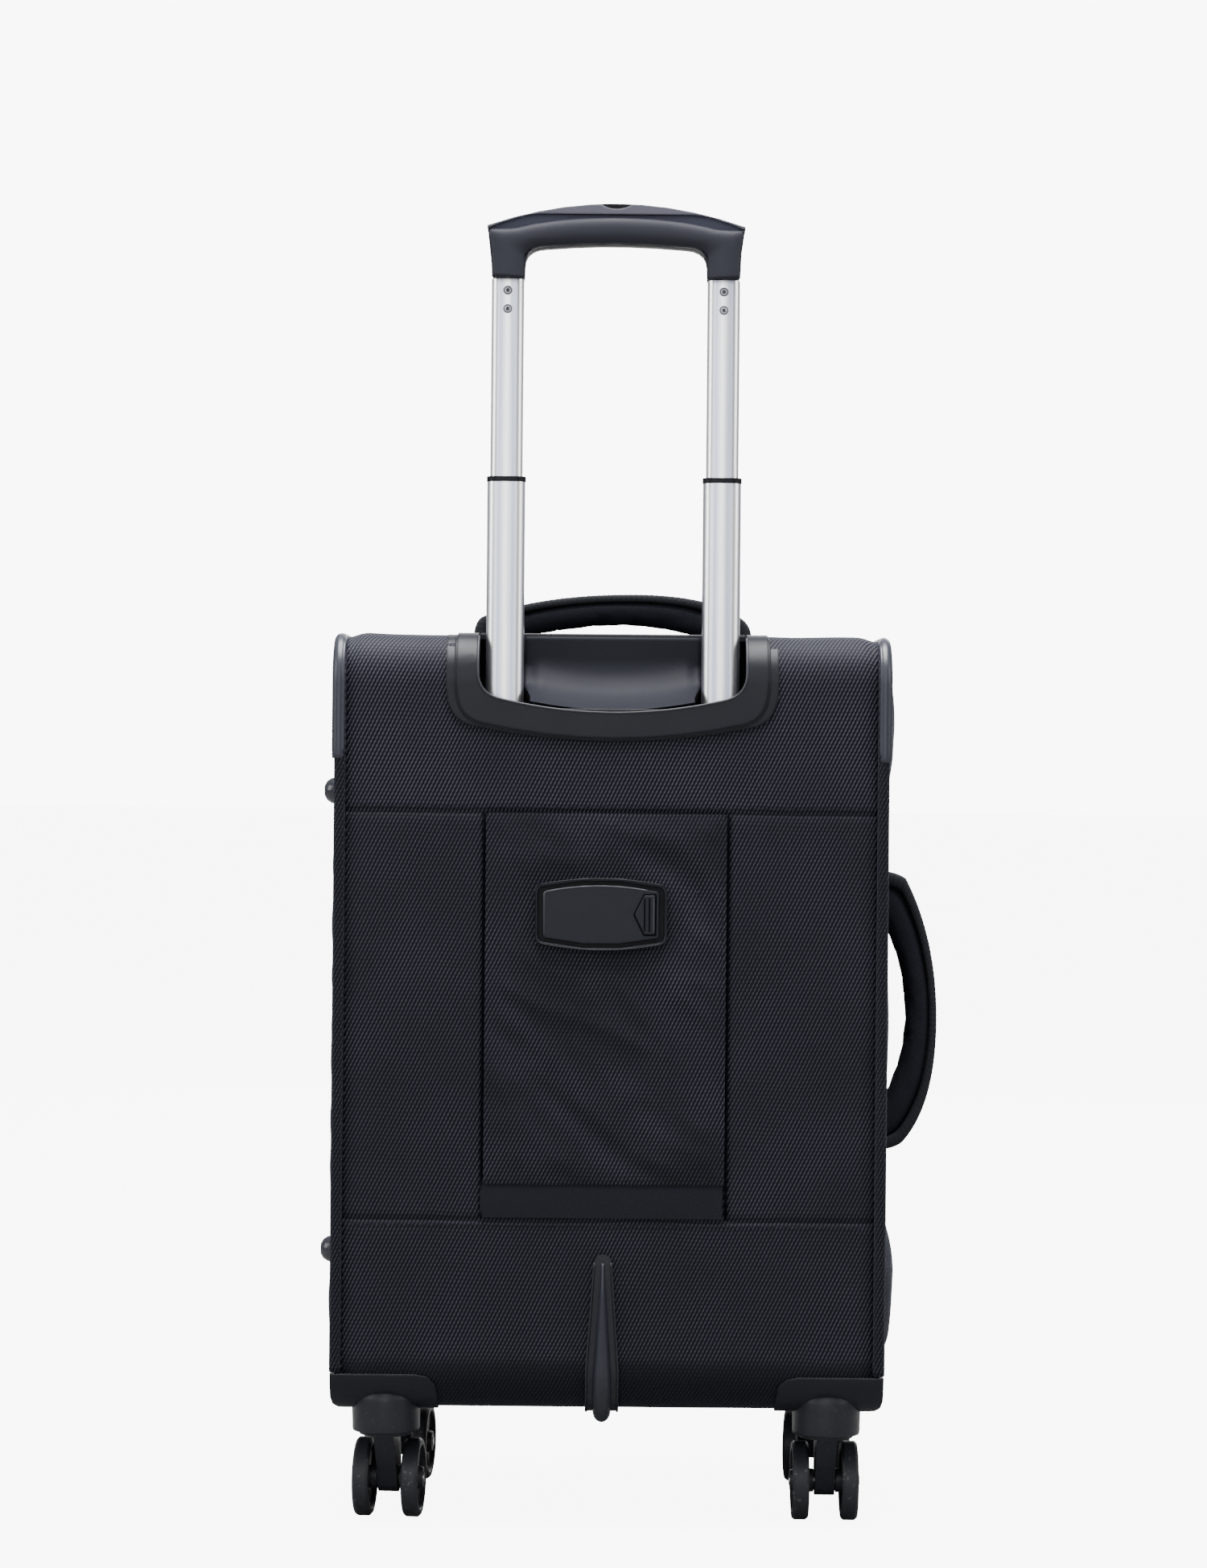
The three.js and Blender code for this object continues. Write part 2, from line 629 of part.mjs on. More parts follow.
function foot() {
  const profile = [[0, 0], [11, 0], [11, 1.6], [8.6, 3], [8, 6], [6.2, 8.8], [3.4, 10.4], [0, 10.4]];
  const points = profile.map(([r, h]) => new THREE.Vector2(r, h));
  return new THREE.LatheGeometry(points, 14).rotateZ(Math.PI / 2);
}
for (const [height, z] of [["upper", 452], ["lower", 160]])
  for (const [place, y] of [["back", 48], ["front", 137]])
    add("side_foot_" + height + "_" + place, foot(), glossPlastic).position.set(-CASE_HALF - GAP, y, z);

function arched(inset, high = TAG.high) {
  const { x, z, wide, bulge } = TAG;
  const [half, tall] = [wide / 2 - inset, high / 2 - inset];
  const round = 6.4 - inset * 0.8;
  return outline(
    [x - half, z - tall + round],
    [x - half + round, z - tall, x - half, z - tall],
    [x + half - round, z - tall, x, z - tall - 2 * bulge],
    [x + half, z - tall + round, x + half, z - tall],
    [x + half, z + tall - round],
    [x + half - round, z + tall, x + half, z + tall],
    [x - half + round, z + tall, x, z + tall + 2 * bulge],
    [x - half, z + tall - round, x - half, z + tall],
  );
}
const TAG_BASE = -3.6;
const TAG_FACE = -7.4;
const LATCH = { tip: TAG.x + 21, right: TAG.x + 33.7, half: 12.2, shoulder: TAG.x + 27 };

function latchShape(grow) {
  const { tip, right, half, shoulder } = LATCH;
  const z = TAG.z;
  return outline(
    [tip - grow, z],
    [shoulder - grow / 2, z - half - grow],
    [right + grow, z - half - grow],
    [right + grow, z + half + grow],
    [shoulder - grow / 2, z + half + grow],
  );
}
const tagWell = alongY(arched(1.6), TAG_FACE - PAST, TAG_BASE, 3);
add("id_tag_frame", cut(alongY(arched(0), TAG_FACE - 0.4, -2.1, 3), tagWell), blackPlastic);
const tagCover = cut(
  alongY(arched(5.4, TAG.high + 1.8), TAG_FACE, -5.2, 3),
  alongY(latchShape(0.4), -20, 0),
);
add("id_tag_cover", tagCover, blackPlastic);
add("id_tag_latch", alongY(latchShape(0), TAG_FACE - 0.5, -5.4), blackPlastic);

// ---- Inside ----
const INSIDE = CASE_HALF - SIDE_PANEL - GAP;
const LINING_BACK = RECESS.front - 3;
add(
  "back_lining",
  block(-INSIDE + 1, INSIDE - 1, LINING_BACK, LINING_BACK + 1.6, HOUSING.top + 6, CASE_TOP - PANEL - 1),
  lining,
);
function wireFrame() {
  const [low, high] = [HOUSING.top, CASE_TOP - PANEL];
  const loop = (inset) =>
    roundedRect(-INSIDE + inset, INSIDE - inset, low + inset, high - inset, 16 - inset);
  const back = SHELL_DEPTH - 3 * PANEL;
  return cut(alongY(loop(1), back, back + 4), alongY(loop(5), back - PAST, back + PAST + 4));
}
add("wire_frame", wireFrame(), steel);

const STRAP = { z: 300, half: 12.5, back: LINING_BACK + 2, thick: 1.4 };
const strap = block(
  24, INSIDE - 1, STRAP.back, STRAP.back + STRAP.thick, STRAP.z - STRAP.half, STRAP.z + STRAP.half,
);
addPair("tie_strap", strap, smoothCloth);
add(
  "tie_buckle",
  alongY(roundedRect(-23.5, 23.5, STRAP.z - 16, STRAP.z + 16, 5), STRAP.back, STRAP.back + 7, 2),
  blackPlastic,
);

// The origin is on the floor, under the middle of the whole suitcase.
const reach = new THREE.Box3().setFromObject(suitcase, true);
const middle = reach.getCenter(new THREE.Vector3());
suitcase.position.set(-middle.x, -middle.y, -reach.min.z);

export default suitcase;
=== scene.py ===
"""The looks of a softside upright suitcase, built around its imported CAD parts.

Shapes are given in millimetres from the middle of the case's back face, 550 below its top:
X to the right, Y from the trolley side to the pocket side, Z up.
"""

import json
import math

import bpy
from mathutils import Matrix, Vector, noise


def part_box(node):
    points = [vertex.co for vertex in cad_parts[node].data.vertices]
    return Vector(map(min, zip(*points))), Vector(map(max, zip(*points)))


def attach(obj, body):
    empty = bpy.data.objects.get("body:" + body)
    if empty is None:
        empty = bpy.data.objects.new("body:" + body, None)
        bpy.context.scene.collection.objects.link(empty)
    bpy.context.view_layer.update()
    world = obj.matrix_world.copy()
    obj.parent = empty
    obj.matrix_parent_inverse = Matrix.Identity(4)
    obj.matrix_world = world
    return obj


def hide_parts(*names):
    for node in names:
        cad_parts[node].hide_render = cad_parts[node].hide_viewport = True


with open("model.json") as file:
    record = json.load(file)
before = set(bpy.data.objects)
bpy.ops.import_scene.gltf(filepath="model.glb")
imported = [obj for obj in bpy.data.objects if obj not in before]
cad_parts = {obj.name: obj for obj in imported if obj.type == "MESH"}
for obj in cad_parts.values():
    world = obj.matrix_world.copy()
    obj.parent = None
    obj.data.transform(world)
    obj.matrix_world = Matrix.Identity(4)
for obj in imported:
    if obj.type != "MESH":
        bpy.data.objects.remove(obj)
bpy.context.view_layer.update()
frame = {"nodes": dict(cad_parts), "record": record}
scene = bpy.context.scene

TOP = 550.0
WRAP_LOW, WRAP_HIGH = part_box("wrap_panel")
ORIGIN = Vector(((WRAP_LOW.x + WRAP_HIGH.x) / 2, WRAP_LOW.y, WRAP_HIGH.z - TOP / 1000))
BOTTOM = TOP - (WRAP_HIGH.z - WRAP_LOW.z) * 1000
DEPTH = (WRAP_HIGH.y - WRAP_LOW.y) * 1000
HALF = 172.0  # from the middle to each side panel's outer face
ROUND = 28.0  # radius of the case's long edges at the back
CASTER_X, CASTER_Y = 139.0, 28.0  # each caster's swivel axis, from the middle and from the case's face


def at(x, y, z):
    return ORIGIN + Vector((x, y, z)) / 1000


def span(node):
    """A CAD node's lowest and highest corner in case millimetres."""
    low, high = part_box(node)
    return (low - ORIGIN) * 1000, (high - ORIGIN) * 1000


# ---- Node trees ----
def finish_of(name, colour, roughness, metallic=0.0, gloss=0.3, coat=0.0):
    """A material, its node tree and its Principled shader."""
    material = bpy.data.materials.new(name)
    material.use_nodes = True
    shader = material.node_tree.nodes["Principled BSDF"]
    shader.inputs["Base Color"].default_value = (*colour, 1)
    shader.inputs["Roughness"].default_value = roughness
    shader.inputs["Metallic"].default_value = metallic
    shader.inputs["Specular IOR Level"].default_value = gloss
    shader.inputs["Coat Weight"].default_value = coat
    material.diffuse_color = (*colour, 1)
    return material, material.node_tree, shader


def node(tree, kind, links=None, **values):
    """A node with its settings, its constant inputs and its linked inputs."""
    made = tree.nodes.new(kind)
    for key, value in values.items():
        if hasattr(made, key):
            setattr(made, key, value)
        else:
            made.inputs[key.replace("_", " ")].default_value = value
    for key, source in (links or {}).items():
        tree.links.new(source, made.inputs[key])
    return made


def math_node(tree, operation, a, b=None, c=None):
    made = tree.nodes.new("ShaderNodeMath")
    made.operation = operation
    for slot, value in enumerate((a, b, c)):
        if value is None:
            continue
        if isinstance(value, (int, float)):
            made.inputs[slot].default_value = value
        else:
            tree.links.new(value, made.inputs[slot])
    return made.outputs[0]


def times(tree, a, b, more=None):
    """a times b, plus more."""
    return math_node(tree, "MULTIPLY" if more is None else "MULTIPLY_ADD", a, b, more)


def ranged(tree, value, from_low, from_high, to_low, to_high, kind="SMOOTHSTEP"):
    """Carries a value from one range over to another."""
    ends = {"From_Min": from_low, "From_Max": from_high, "To_Min": to_low, "To_Max": to_high}
    return node(tree, "ShaderNodeMapRange", {"Value": value}, interpolation_type=kind, **ends).outputs[0]


def position(tree):
    """The place on the object that is shaded, in the scene's metres."""
    return node(tree, "ShaderNodeTexCoord").outputs["Object"]


def split(tree, vector):
    return node(tree, "ShaderNodeSeparateXYZ", {0: vector}).outputs


def mix_colour(tree, factor, a, b):
    mixed = tree.nodes.new("ShaderNodeMix")
    mixed.data_type = "RGBA"
    for slot, value in ((0, factor), (6, a), (7, b)):
        if isinstance(value, bpy.types.NodeSocket):
            tree.links.new(value, mixed.inputs[slot])
        elif slot == 0:
            mixed.inputs[slot].default_value = value
        else:
            mixed.inputs[slot].default_value = (*value, 1)
    return mixed.outputs[2]


def bump(tree, shader, height, distance, strength=1.0, under=None):
    links = {"Height": height}
    if under is not None:
        links["Normal"] = under
    made = node(tree, "ShaderNodeBump", links, Distance=distance, Strength=strength)
    tree.links.new(made.outputs[0], shader.inputs["Normal"])
    return made.outputs[0]


def grain(tree, scale, detail=3.0, source=None):
    """Noise over the piece's own coordinates."""
    where = source or position(tree)
    return node(tree, "ShaderNodeTexNoise", {"Vector": where}, Scale=scale, Detail=detail).outputs[0]


# ---- Finishes ----
def floats(tree, uv, pitch, row, lean, long, wide):
    """Slanted bright floats in staggered rows, from 0 to 1. Sizes in millimetres on UVs in metres."""
    u, v = split(tree, uv)[:2]
    wander = math_node(tree, "SUBTRACT", grain(tree, 11.0, 2.0, uv), 0.5)
    rows = times(tree, wander, 2.2, times(tree, v, 1000 / row))
    shift = times(tree, math_node(tree, "FLOOR", rows), 0.5)
    columns = times(tree, u, 1000 / pitch, shift)
    x = times(tree, math_node(tree, "SUBTRACT", math_node(tree, "FRACT", columns), 0.5), pitch)
    y = times(tree, math_node(tree, "SUBTRACT", math_node(tree, "FRACT", rows), 0.5), row)
    c, n = math.cos(lean), math.sin(lean)
    along = times(tree, x, c / long, times(tree, y, n / long))
    across = times(tree, x, -n / wide, times(tree, y, c / wide))
    reach = times(tree, along, along, times(tree, across, across))
    return ranged(tree, reach, 1.5, 0.15, 0.0, 1.0)


def twill(name, ground, thread, strength=0.8, stretch=None, fold_shade=0.0):
    """Cloth of short bright floats that lean to the upper right, bolder above the height stretch.

    The last argument is how much painted shade and painted light darken and lighten the cloth in streaks
    along slanting folds.
    """
    material, tree, shader = finish_of(name, ground, 0.62, gloss=0.09)
    shader.inputs["Sheen Weight"].default_value = 0.07
    shader.inputs["Sheen Roughness"].default_value = 0.35
    shader.inputs["Sheen Tint"].default_value = (0.75, 0.78, 1.0, 1)
    uv = node(tree, "ShaderNodeTexCoord").outputs["UV"]
    marks = floats(tree, uv, 2.45, 2.5, math.radians(62), 1.5, 0.5)
    fibre = grain(tree, 2600.0, 2.0, uv)
    broad = grain(tree, 17.0, 3.0, uv)
    share = times(tree, marks, times(tree, fibre, 0.8, 0.3))
    share = times(tree, share, times(tree, broad, strength, strength * 0.45))
    if stretch:
        height = split(tree, position(tree))[2]
        above = math_node(tree, "GREATER_THAN", height, ORIGIN.z + stretch / 1000)
        share = times(tree, share, times(tree, above, 0.4, 1.0))
        foot_low, foot_high = ORIGIN.z + 0.092, ORIGIN.z + 0.102
        share = times(tree, share, ranged(tree, height, foot_low, foot_high, 0.3, 1.0))
    if fold_shade:
        # Painted shade and painted light: streaks of stretched noise along the folds' slant darken and
        # lighten the floats.
        turned = node(tree, "ShaderNodeMapping", {"Vector": uv}, vector_type="TEXTURE")
        turned.inputs["Rotation"].default_value = (0, 0, math.radians(35))
        turned.inputs["Scale"].default_value = (1 / 26, 1 / 9, 1)
        fold_streaks = grain(tree, 1.0, 1.5, turned.outputs[0])
        share = times(tree, share, ranged(tree, fold_streaks, 0.35, 0.65, 1 - fold_shade, 1 + fold_shade, "LINEAR"))
    tree.links.new(mix_colour(tree, share, ground, thread), shader.inputs["Base Color"])
    relief = times(tree, fibre, 0.25, marks)
    bump(tree, shader, relief, 0.0004, 0.85)
    return material


def plain_cloth(name, colour, pitch=0.9, roughness=0.8, light=1.8):
    """A fine plain weave. UVs are in metres."""
    material, tree, shader = finish_of(name, colour, roughness, gloss=0.1)
    uv = node(tree, "ShaderNodeTexCoord").outputs["UV"]
    check = node(tree, "ShaderNodeTexChecker", {"Vector": uv}, Scale=1000 / pitch)
    fibre = grain(tree, 1800.0, 2.0, uv)
    share = times(tree, times(tree, check.outputs[1], 0.35, 0.3), fibre)
    tree.links.new(mix_colour(tree, share, colour, [c * light for c in colour]), shader.inputs["Base Color"])
    bump(tree, shader, times(tree, check.outputs[1], 0.4, fibre), 0.00025, 0.7)
    return material


def moulding(name, colour, roughness, texture=0.35, coat=0.0, dust=0.0, gloss=0.1, well=None, soft=0.0):
    """Plastic with a fine grain, some dust, and painted shade deeper than the depth well.

    soft is the width in millimetres over which its edges look rounded.
    """
    material, tree, shader = finish_of(name, colour, roughness, gloss=gloss, coat=coat)
    fine = grain(tree, 2400.0, 2.0)
    broad = grain(tree, 26.0, 4.0)
    rough = times(tree, broad, 0.16, roughness - 0.08)
    tree.links.new(rough, shader.inputs["Roughness"])
    if dust:
        specks = grain(tree, 330.0, 3.0)
        kept = times(tree, math_node(tree, "GREATER_THAN", specks, 0.66), dust)
        haze = times(tree, broad, dust * 0.25, kept)
        tree.links.new(mix_colour(tree, haze, colour, (0.3, 0.3, 0.29)), shader.inputs["Base Color"])
    if well is not None:
        # Painted shade: the colour turns near-black on faces deeper than the depth well.
        depth = split(tree, position(tree))[1]
        deep = math_node(tree, "GREATER_THAN", depth, ORIGIN.y + well / 1000)
        tree.links.new(mix_colour(tree, deep, colour, (0.003, 0.0032, 0.006)), shader.inputs["Base Color"])
    rounding = node(tree, "ShaderNodeBevel", Radius=soft / 1000).outputs[0] if soft else None
    bump(tree, shader, fine, 0.00012, texture, rounding)
    return material


def anodised(name, middle, half_width):
    """Satin aluminium with shallow drawn ribs along Z, placed about each tube's middle, with painted shade
    and painted reflection bands in blue-grey in the ribs' hollows.
    """
    bright, shade = (0.97, 0.972, 0.98), (0.36, 0.4, 0.54)
    material, tree, shader = finish_of(name, bright, 0.34, metallic=1.0)
    where = position(tree)
    from_case = math_node(tree, "SUBTRACT", split(tree, where)[0], ORIGIN.x)
    from_tube = math_node(tree, "SUBTRACT", math_node(tree, "ABSOLUTE", from_case), middle)
    ribs = math_node(tree, "COSINE", times(tree, from_tube, 2 * math.pi / (half_width * 0.74)))
    lifted = times(tree, ribs, 0.5, 0.5)
    stretched = node(tree, "ShaderNodeMapping", {"Vector": where}, Scale=(900, 900, 6))
    brushed = grain(tree, 1.0, 3.0, stretched.outputs[0])
    specks = grain(tree, 1500.0, 1.0)
    # Painted shade and painted reflection: the base colour turns blue-grey in the ribs' hollows.
    rib_shade_share = times(tree, math_node(tree, "SUBTRACT", 1.0, lifted), times(tree, brushed, 0.6, 0.5))
    tree.links.new(mix_colour(tree, rib_shade_share, bright, shade), shader.inputs["Base Color"])
    tree.links.new(times(tree, brushed, 0.12, 0.28), shader.inputs["Roughness"])
    bump(tree, shader, times(tree, specks, 0.05, lifted), 0.0003, 0.35)
    return material


def cast_metal(name, colour, roughness):
    """Plated metal with faint handling marks."""
    material, tree, shader = finish_of(name, colour, roughness, metallic=1.0)
    marks = grain(tree, 240.0, 4.0)
    tree.links.new(times(tree, marks, 0.25, roughness - 0.1), shader.inputs["Roughness"])
    tree.links.new(mix_colour(tree, marks, colour, [c * 0.6 for c in colour]), shader.inputs["Base Color"])
    bump(tree, shader, marks, 0.0001, 0.3)
    return material


INK = (0.002, 0.0022, 0.0042)
THREAD_LIGHT = (0.056, 0.0582, 0.079)
FINISHES = {
    "shell_twill": twill("shell_twill_cloth", INK, THREAD_LIGHT, 0.72, stretch=440),
    # The patch's cloth has painted fold shade.
    "patch_twill": twill("patch_twill_cloth", INK, THREAD_LIGHT, 0.72, fold_shade=0.32),
    "handle_webbing": plain_cloth("handle_webbing_cloth", (0.0072, 0.0074, 0.0108), 1.1, 0.9),
    "lining_cloth": plain_cloth("lining_cloth_plain", (0.06, 0.062, 0.07), 0.7),
    "recess_plastic": moulding(
        "recess_plastic_finish", (0.0072, 0.0078, 0.0112), 0.4, 0.15, gloss=0.14, soft=2.0),
    "housing_plastic": moulding(
        "housing_plastic_finish", (0.008, 0.0088, 0.0124), 0.44, 0.5, gloss=0.12, soft=2.0),
    "rail_plastic": moulding("rail_plastic_finish", (0.0085, 0.0094, 0.0132), 0.38, 0.2, gloss=0.25),
    "foot_gloss": moulding("foot_gloss_finish", (0.016, 0.018, 0.024), 0.28, 0.1, coat=0.3, gloss=0.3),
    # The tag's plastic has painted shade on its frame's well floor, less than 4.9 mm out from the case's
    # back.
    "tag_plastic": moulding(
        "tag_plastic_finish", (0.0096, 0.0105, 0.0148), 0.4, 0.5, gloss=0.12, well=-4.9, soft=1.2),
    "grip_plastic": moulding(
        "grip_plastic_finish", (0.0062, 0.0065, 0.0092), 0.5, 0.5, gloss=0.06, soft=2.0),
    "grip_cap_plastic": moulding("grip_cap_finish", (0.058, 0.0588, 0.077), 0.42, 0.4, gloss=0.2, soft=1.5),
    "button_plastic": moulding("button_finish", (0.003, 0.0032, 0.0046), 0.5, 0.3),
    "tube_aluminium": anodised("tube_aluminium_finish", 0.068, 0.0119),
    "collar_plastic": moulding("collar_plastic_finish", (0.006, 0.0062, 0.008), 0.4, 0.2),
    "rod_steel": cast_metal("rod_steel_finish", (0.5, 0.5, 0.51), 0.34),
    "slider_metal": cast_metal("slider_metal_finish", (0.06, 0.062, 0.07), 0.36),
    "fork_plastic": moulding(
        "fork_plastic_finish", (0.0088, 0.0095, 0.0132), 0.42, 0.4, dust=0.03, gloss=0.2),
    "wheel_tyre": moulding(
        "wheel_tyre_finish", (0.0104, 0.011, 0.0142), 0.42, 0.35, dust=0.1, gloss=0.2, soft=1.2),
}
# The release bar's near-black steel, in place of its slot's bright steel, is painted shade for the dark
# groove it lies in under the grip's cap.
PAINTED_SHADE_STEEL = cast_metal("painted_shade_steel_finish", (0.012, 0.012, 0.015), 0.5)


# ---- The CAD nodes keep their shape: they get smooth shading, eased edges and their finish ----
def eased():
    """A modifier tree that joins the faces' corners again and shades smoothly across shallow angles."""
    tree = bpy.data.node_groups.new("eased", "GeometryNodeTree")
    tree.interface.new_socket("Geometry", in_out="INPUT", socket_type="NodeSocketGeometry")
    tree.interface.new_socket("Geometry", in_out="OUTPUT", socket_type="NodeSocketGeometry")
    start = tree.nodes.new("NodeGroupInput")
    weld = node(tree, "GeometryNodeMergeByDistance", {"Geometry": start.outputs[0]})
    weld.inputs["Distance"].default_value = 2e-6
    strip = node(tree, "GeometryNodeRemoveAttribute", {"Geometry": weld.outputs[0]})
    strip.inputs["Name"].default_value = "custom_normal"
    faces = node(tree, "GeometryNodeSetShadeSmooth", {"Geometry": strip.outputs[0]}, domain="FACE")
    angle = node(tree, "GeometryNodeInputMeshEdgeAngle")
    shallow = node(tree, "FunctionNodeCompare", data_type="FLOAT", operation="LESS_THAN")
    tree.links.new(angle.outputs["Unsigned Angle"], shallow.inputs[0])
    shallow.inputs[1].default_value = math.radians(28)
    edges = node(tree, "GeometryNodeSetShadeSmooth", {"Geometry": faces.outputs[0]}, domain="EDGE")
    tree.links.new(shallow.outputs[0], edges.inputs["Shade Smooth"])
    end = tree.nodes.new("NodeGroupOutput")
    tree.links.new(edges.outputs[0], end.inputs[0])
    return tree


EASED = eased()
# Widths of the eased edges in millimetres, by the start of a node's name.
EDGE = {
    "recess": 1.0, "wheel_housing": 0.9, "grip": 0.5, "wheel_": 0.6, "caster": 0.7,
    "id_tag_frame": 0.6, "id_tag_cover": 1.0, "id_tag_latch": 0.4, "tie_b": 0.8,
    "main_slider": 0.5, "upper_pocket_slider": 0.5, "lower_pocket_slider": 0.5,
}
node_slot = {s["node"]: s["material_slot"] for s in frame["record"]["subparts"]}
for name, part in frame["nodes"].items():
    part.data.materials.clear()
    # The release bar wears the near-black steel: painted shade.
    part.data.materials.append(PAINTED_SHADE_STEEL if name == "release_bar" else FINISHES[node_slot[name]])
    easing = part.modifiers.new("eased", "NODES")
    easing.node_group = EASED
    width = next((w for start, w in EDGE.items() if name.startswith(start)), 0)
    if width:
        edge = part.modifiers.new("edge", "BEVEL")
        edge.width = width / 1000
        edge.segments = 2
        edge.limit_method = "ANGLE"
        edge.angle_limit = math.radians(34)
        edge.harden_normals = True


# ---- Meshes ----
def piece(name, points, faces, body, slot, uvs=None, stands_for=(), finish=None, smooth=True):
    """A mesh from points in case millimetres that rides a body and wears a slot's finish."""
    data = bpy.data.meshes.new(name)
    data.from_pydata([at(*p) for p in points], [], faces)
    if uvs is not None:
        layer = data.uv_layers.new(name="UVMap")
        for loop in data.loops:
            u, v = uvs[loop.vertex_index]
            layer.data[loop.index].uv = (u / 1000, v / 1000)
    data.materials.append(finish or FINISHES[slot])
    for polygon in data.polygons:
        polygon.use_smooth = smooth
    made = bpy.data.objects.new(name, data)
    scene.collection.objects.link(made)
    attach(made, body)
    if stands_for:
        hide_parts(*stands_for)
    return made


def grid_faces(rows, columns, wrap=False, keep=None):
    faces = []
    for r in range(rows - 1):
        for c in range(columns if wrap else columns - 1):
            if keep and not keep(r, c):
                continue
            d = (c + 1) % columns
            low, high = r * columns, (r + 1) * columns
            faces.append((low + c, low + d, high + d, high + c))
    return faces


def flipped(faces):
    return [tuple(reversed(face)) for face in faces]


def seen_flat(points):
    """UVs of points seen along Y."""
    return [(p[0], p[2]) for p in points]


def slab(outline, near, far):
    """Points and faces of a plate: its outline seen along Y, from one depth to another."""
    count = len(outline)
    points = [(x, y, z) for y in (near, far) for x, z in outline]
    faces = [tuple(range(count)), tuple(reversed(range(count, 2 * count)))]
    faces += [(k, k + count, (k + 1) % count + count, (k + 1) % count) for k in range(count)]
    return points, faces


def walled(made, thickness):
    """Gives an open skin a thin wall."""
    wall = made.modifiers.new("wall", "SOLIDIFY")
    wall.thickness = thickness / 1000
    return wall


def turn_over(made):
    for polygon in made.data.polygons:
        polygon.flip()


def ticks(low, high, step, *extra):
    """Evenly spaced values with some exact ones put in."""
    count = max(1, round((high - low) / step))
    values = [low + (high - low) * k / count for k in range(count + 1)]
    kept = [v for v in values if all(abs(v - e) > step * 0.3 for e in extra)]
    return sorted(kept + list(extra))


def smooth_step(a, b, v):
    t = min(1.0, max(0.0, (v - a) / (b - a)))
    return t * t * (3 - 2 * t)


def ripple(x, y, z, size, seed=0):
    return noise.noise(Vector((x / size + seed * 7.3, y / size - seed * 3.1, z / size)))


def groove(value, centre, width):
    return math.exp(-(((value - centre) / width) ** 2))


def bezier(a, control, b, count):
    """Points along a curve from a to just before b, drawn towards a control point."""
    points = []
    for k in range(count):
        t = k / count
        shares = ((1 - t) ** 2, 2 * t * (1 - t), t * t)
        points.append(tuple(shares[0] * p + shares[1] * c + shares[2] * q for p, c, q in zip(a, control, b)))
    return points


def resample(points, count):
    """Points at equal steps along a polyline."""
    lengths = [0.0]
    for a, b in zip(points, points[1:]):
        lengths.append(lengths[-1] + math.dist(a, b))
    found, k = [], 0
    for i in range(count):
        goal = lengths[-1] * i / (count - 1)
        while k < len(points) - 2 and lengths[k + 1] < goal:
            k += 1
        part = (goal - lengths[k]) / max(1e-9, lengths[k + 1] - lengths[k])
        found.append(tuple(p + (q - p) * part for p, q in zip(points[k], points[k + 1])))
    return found


def tube(name, path, radius, body, slot, closed=False, sides=10, swell=None, finish=None):
    """A round cord or piping along points, with rounded-off ends when it's open."""
    path = [Vector(p) for p in path]
    count = len(path)
    points, uvs, run = [], [], 0.0
    side = None
    for k, p in enumerate(path):
        before = path[k - 1] if closed or k else path[k]
        after = path[(k + 1) % count] if closed or k < count - 1 else path[k]
        along = (after - before).normalized()
        if side is None:
            side = along.orthogonal().normalized()
        side = (side - along * side.dot(along)).normalized()
        other = along.cross(side)
        run += (p - path[k - 1]).length if k else 0
        r = radius * (swell(k / max(1, count - 1)) if swell else 1.0)
        for s in range(sides):
            angle = 2 * math.pi * s / sides
            points.append(p + side * math.cos(angle) * r + other * math.sin(angle) * r)
            uvs.append((r * angle, run))
    faces = grid_faces(count, sides, wrap=True)
    if closed:
        last = (count - 1) * sides
        faces += [(last + s, last + (s + 1) % sides, (s + 1) % sides, s) for s in range(sides)]
    else:
        faces.append(tuple(reversed(range(sides))))
        faces.append(tuple(range((count - 1) * sides, count * sides)))
    return piece(name, points, faces, body, slot, uvs, finish=finish)


def many(name, shapes, body, slot, finish=None):
    """Small blocks as one piece. Each is a centre, three half axes, and a share that its ends narrow to."""
    points, faces = [], []
    square = ((-1, -1), (1, -1), (1, 1), (-1, 1))
    for centre, a, b, c, narrow in shapes:
        start = len(points)
        centre, a, b, c = (Vector(v) for v in (centre, a, b, c))
        for along, share in ((-1, narrow), (-0.45, 1), (0.45, 1), (1, narrow)):
            points += [centre + a * along + (b * sb + c * sc) * share for sb, sc in square]
        faces += [(start + 3, start + 2, start + 1, start), (start + 12, start + 13, start + 14, start + 15)]
        for ring in range(3):
            low = start + 4 * ring
            faces += [(low + s, low + (s + 1) % 4, low + 4 + (s + 1) % 4, low + 4 + s) for s in range(4)]
    return piece(name, points, faces, body, slot, finish=finish, smooth=False)


THREAD = moulding("thread_finish", (0.011, 0.0115, 0.015), 0.7, 0.1, gloss=0.05)
STITCH_PITCH = 3.4
THREAD_THICK = 0.32


def stitches(name, path, body, slot, outward):
    """A row of thread stitches along a path, lying on the face that looks outward."""
    length = sum(math.dist(a, b) for a, b in zip(path, path[1:]))
    marks = resample(path, max(3, int(length / STITCH_PITCH) * 2 + 1))
    shapes = []
    for k in range(0, len(marks) - 1, 2):
        a, b = Vector(marks[k]), Vector(marks[k + 1])
        out = Vector(outward((a + b) / 2)) if callable(outward) else Vector(outward)
        along = (b - a) * 0.72
        across = along.cross(out).normalized() * THREAD_THICK
        shapes.append(((a + b) / 2, along, across, out.normalized() * THREAD_THICK * 0.8, 0.35))
    return many(name, shapes, body, slot, finish=THREAD)


def lined(made, thickness, slot="lining_cloth"):
    """Gives an open shell its thickness inwards, with a lining on the inside."""
    made.data.materials.append(FINISHES[slot])
    shell = made.modifiers.new("lining", "SOLIDIFY")
    shell.thickness = thickness / 1000
    shell.offset = -1
    shell.material_offset = 1
    shell.material_offset_rim = 0
    return made


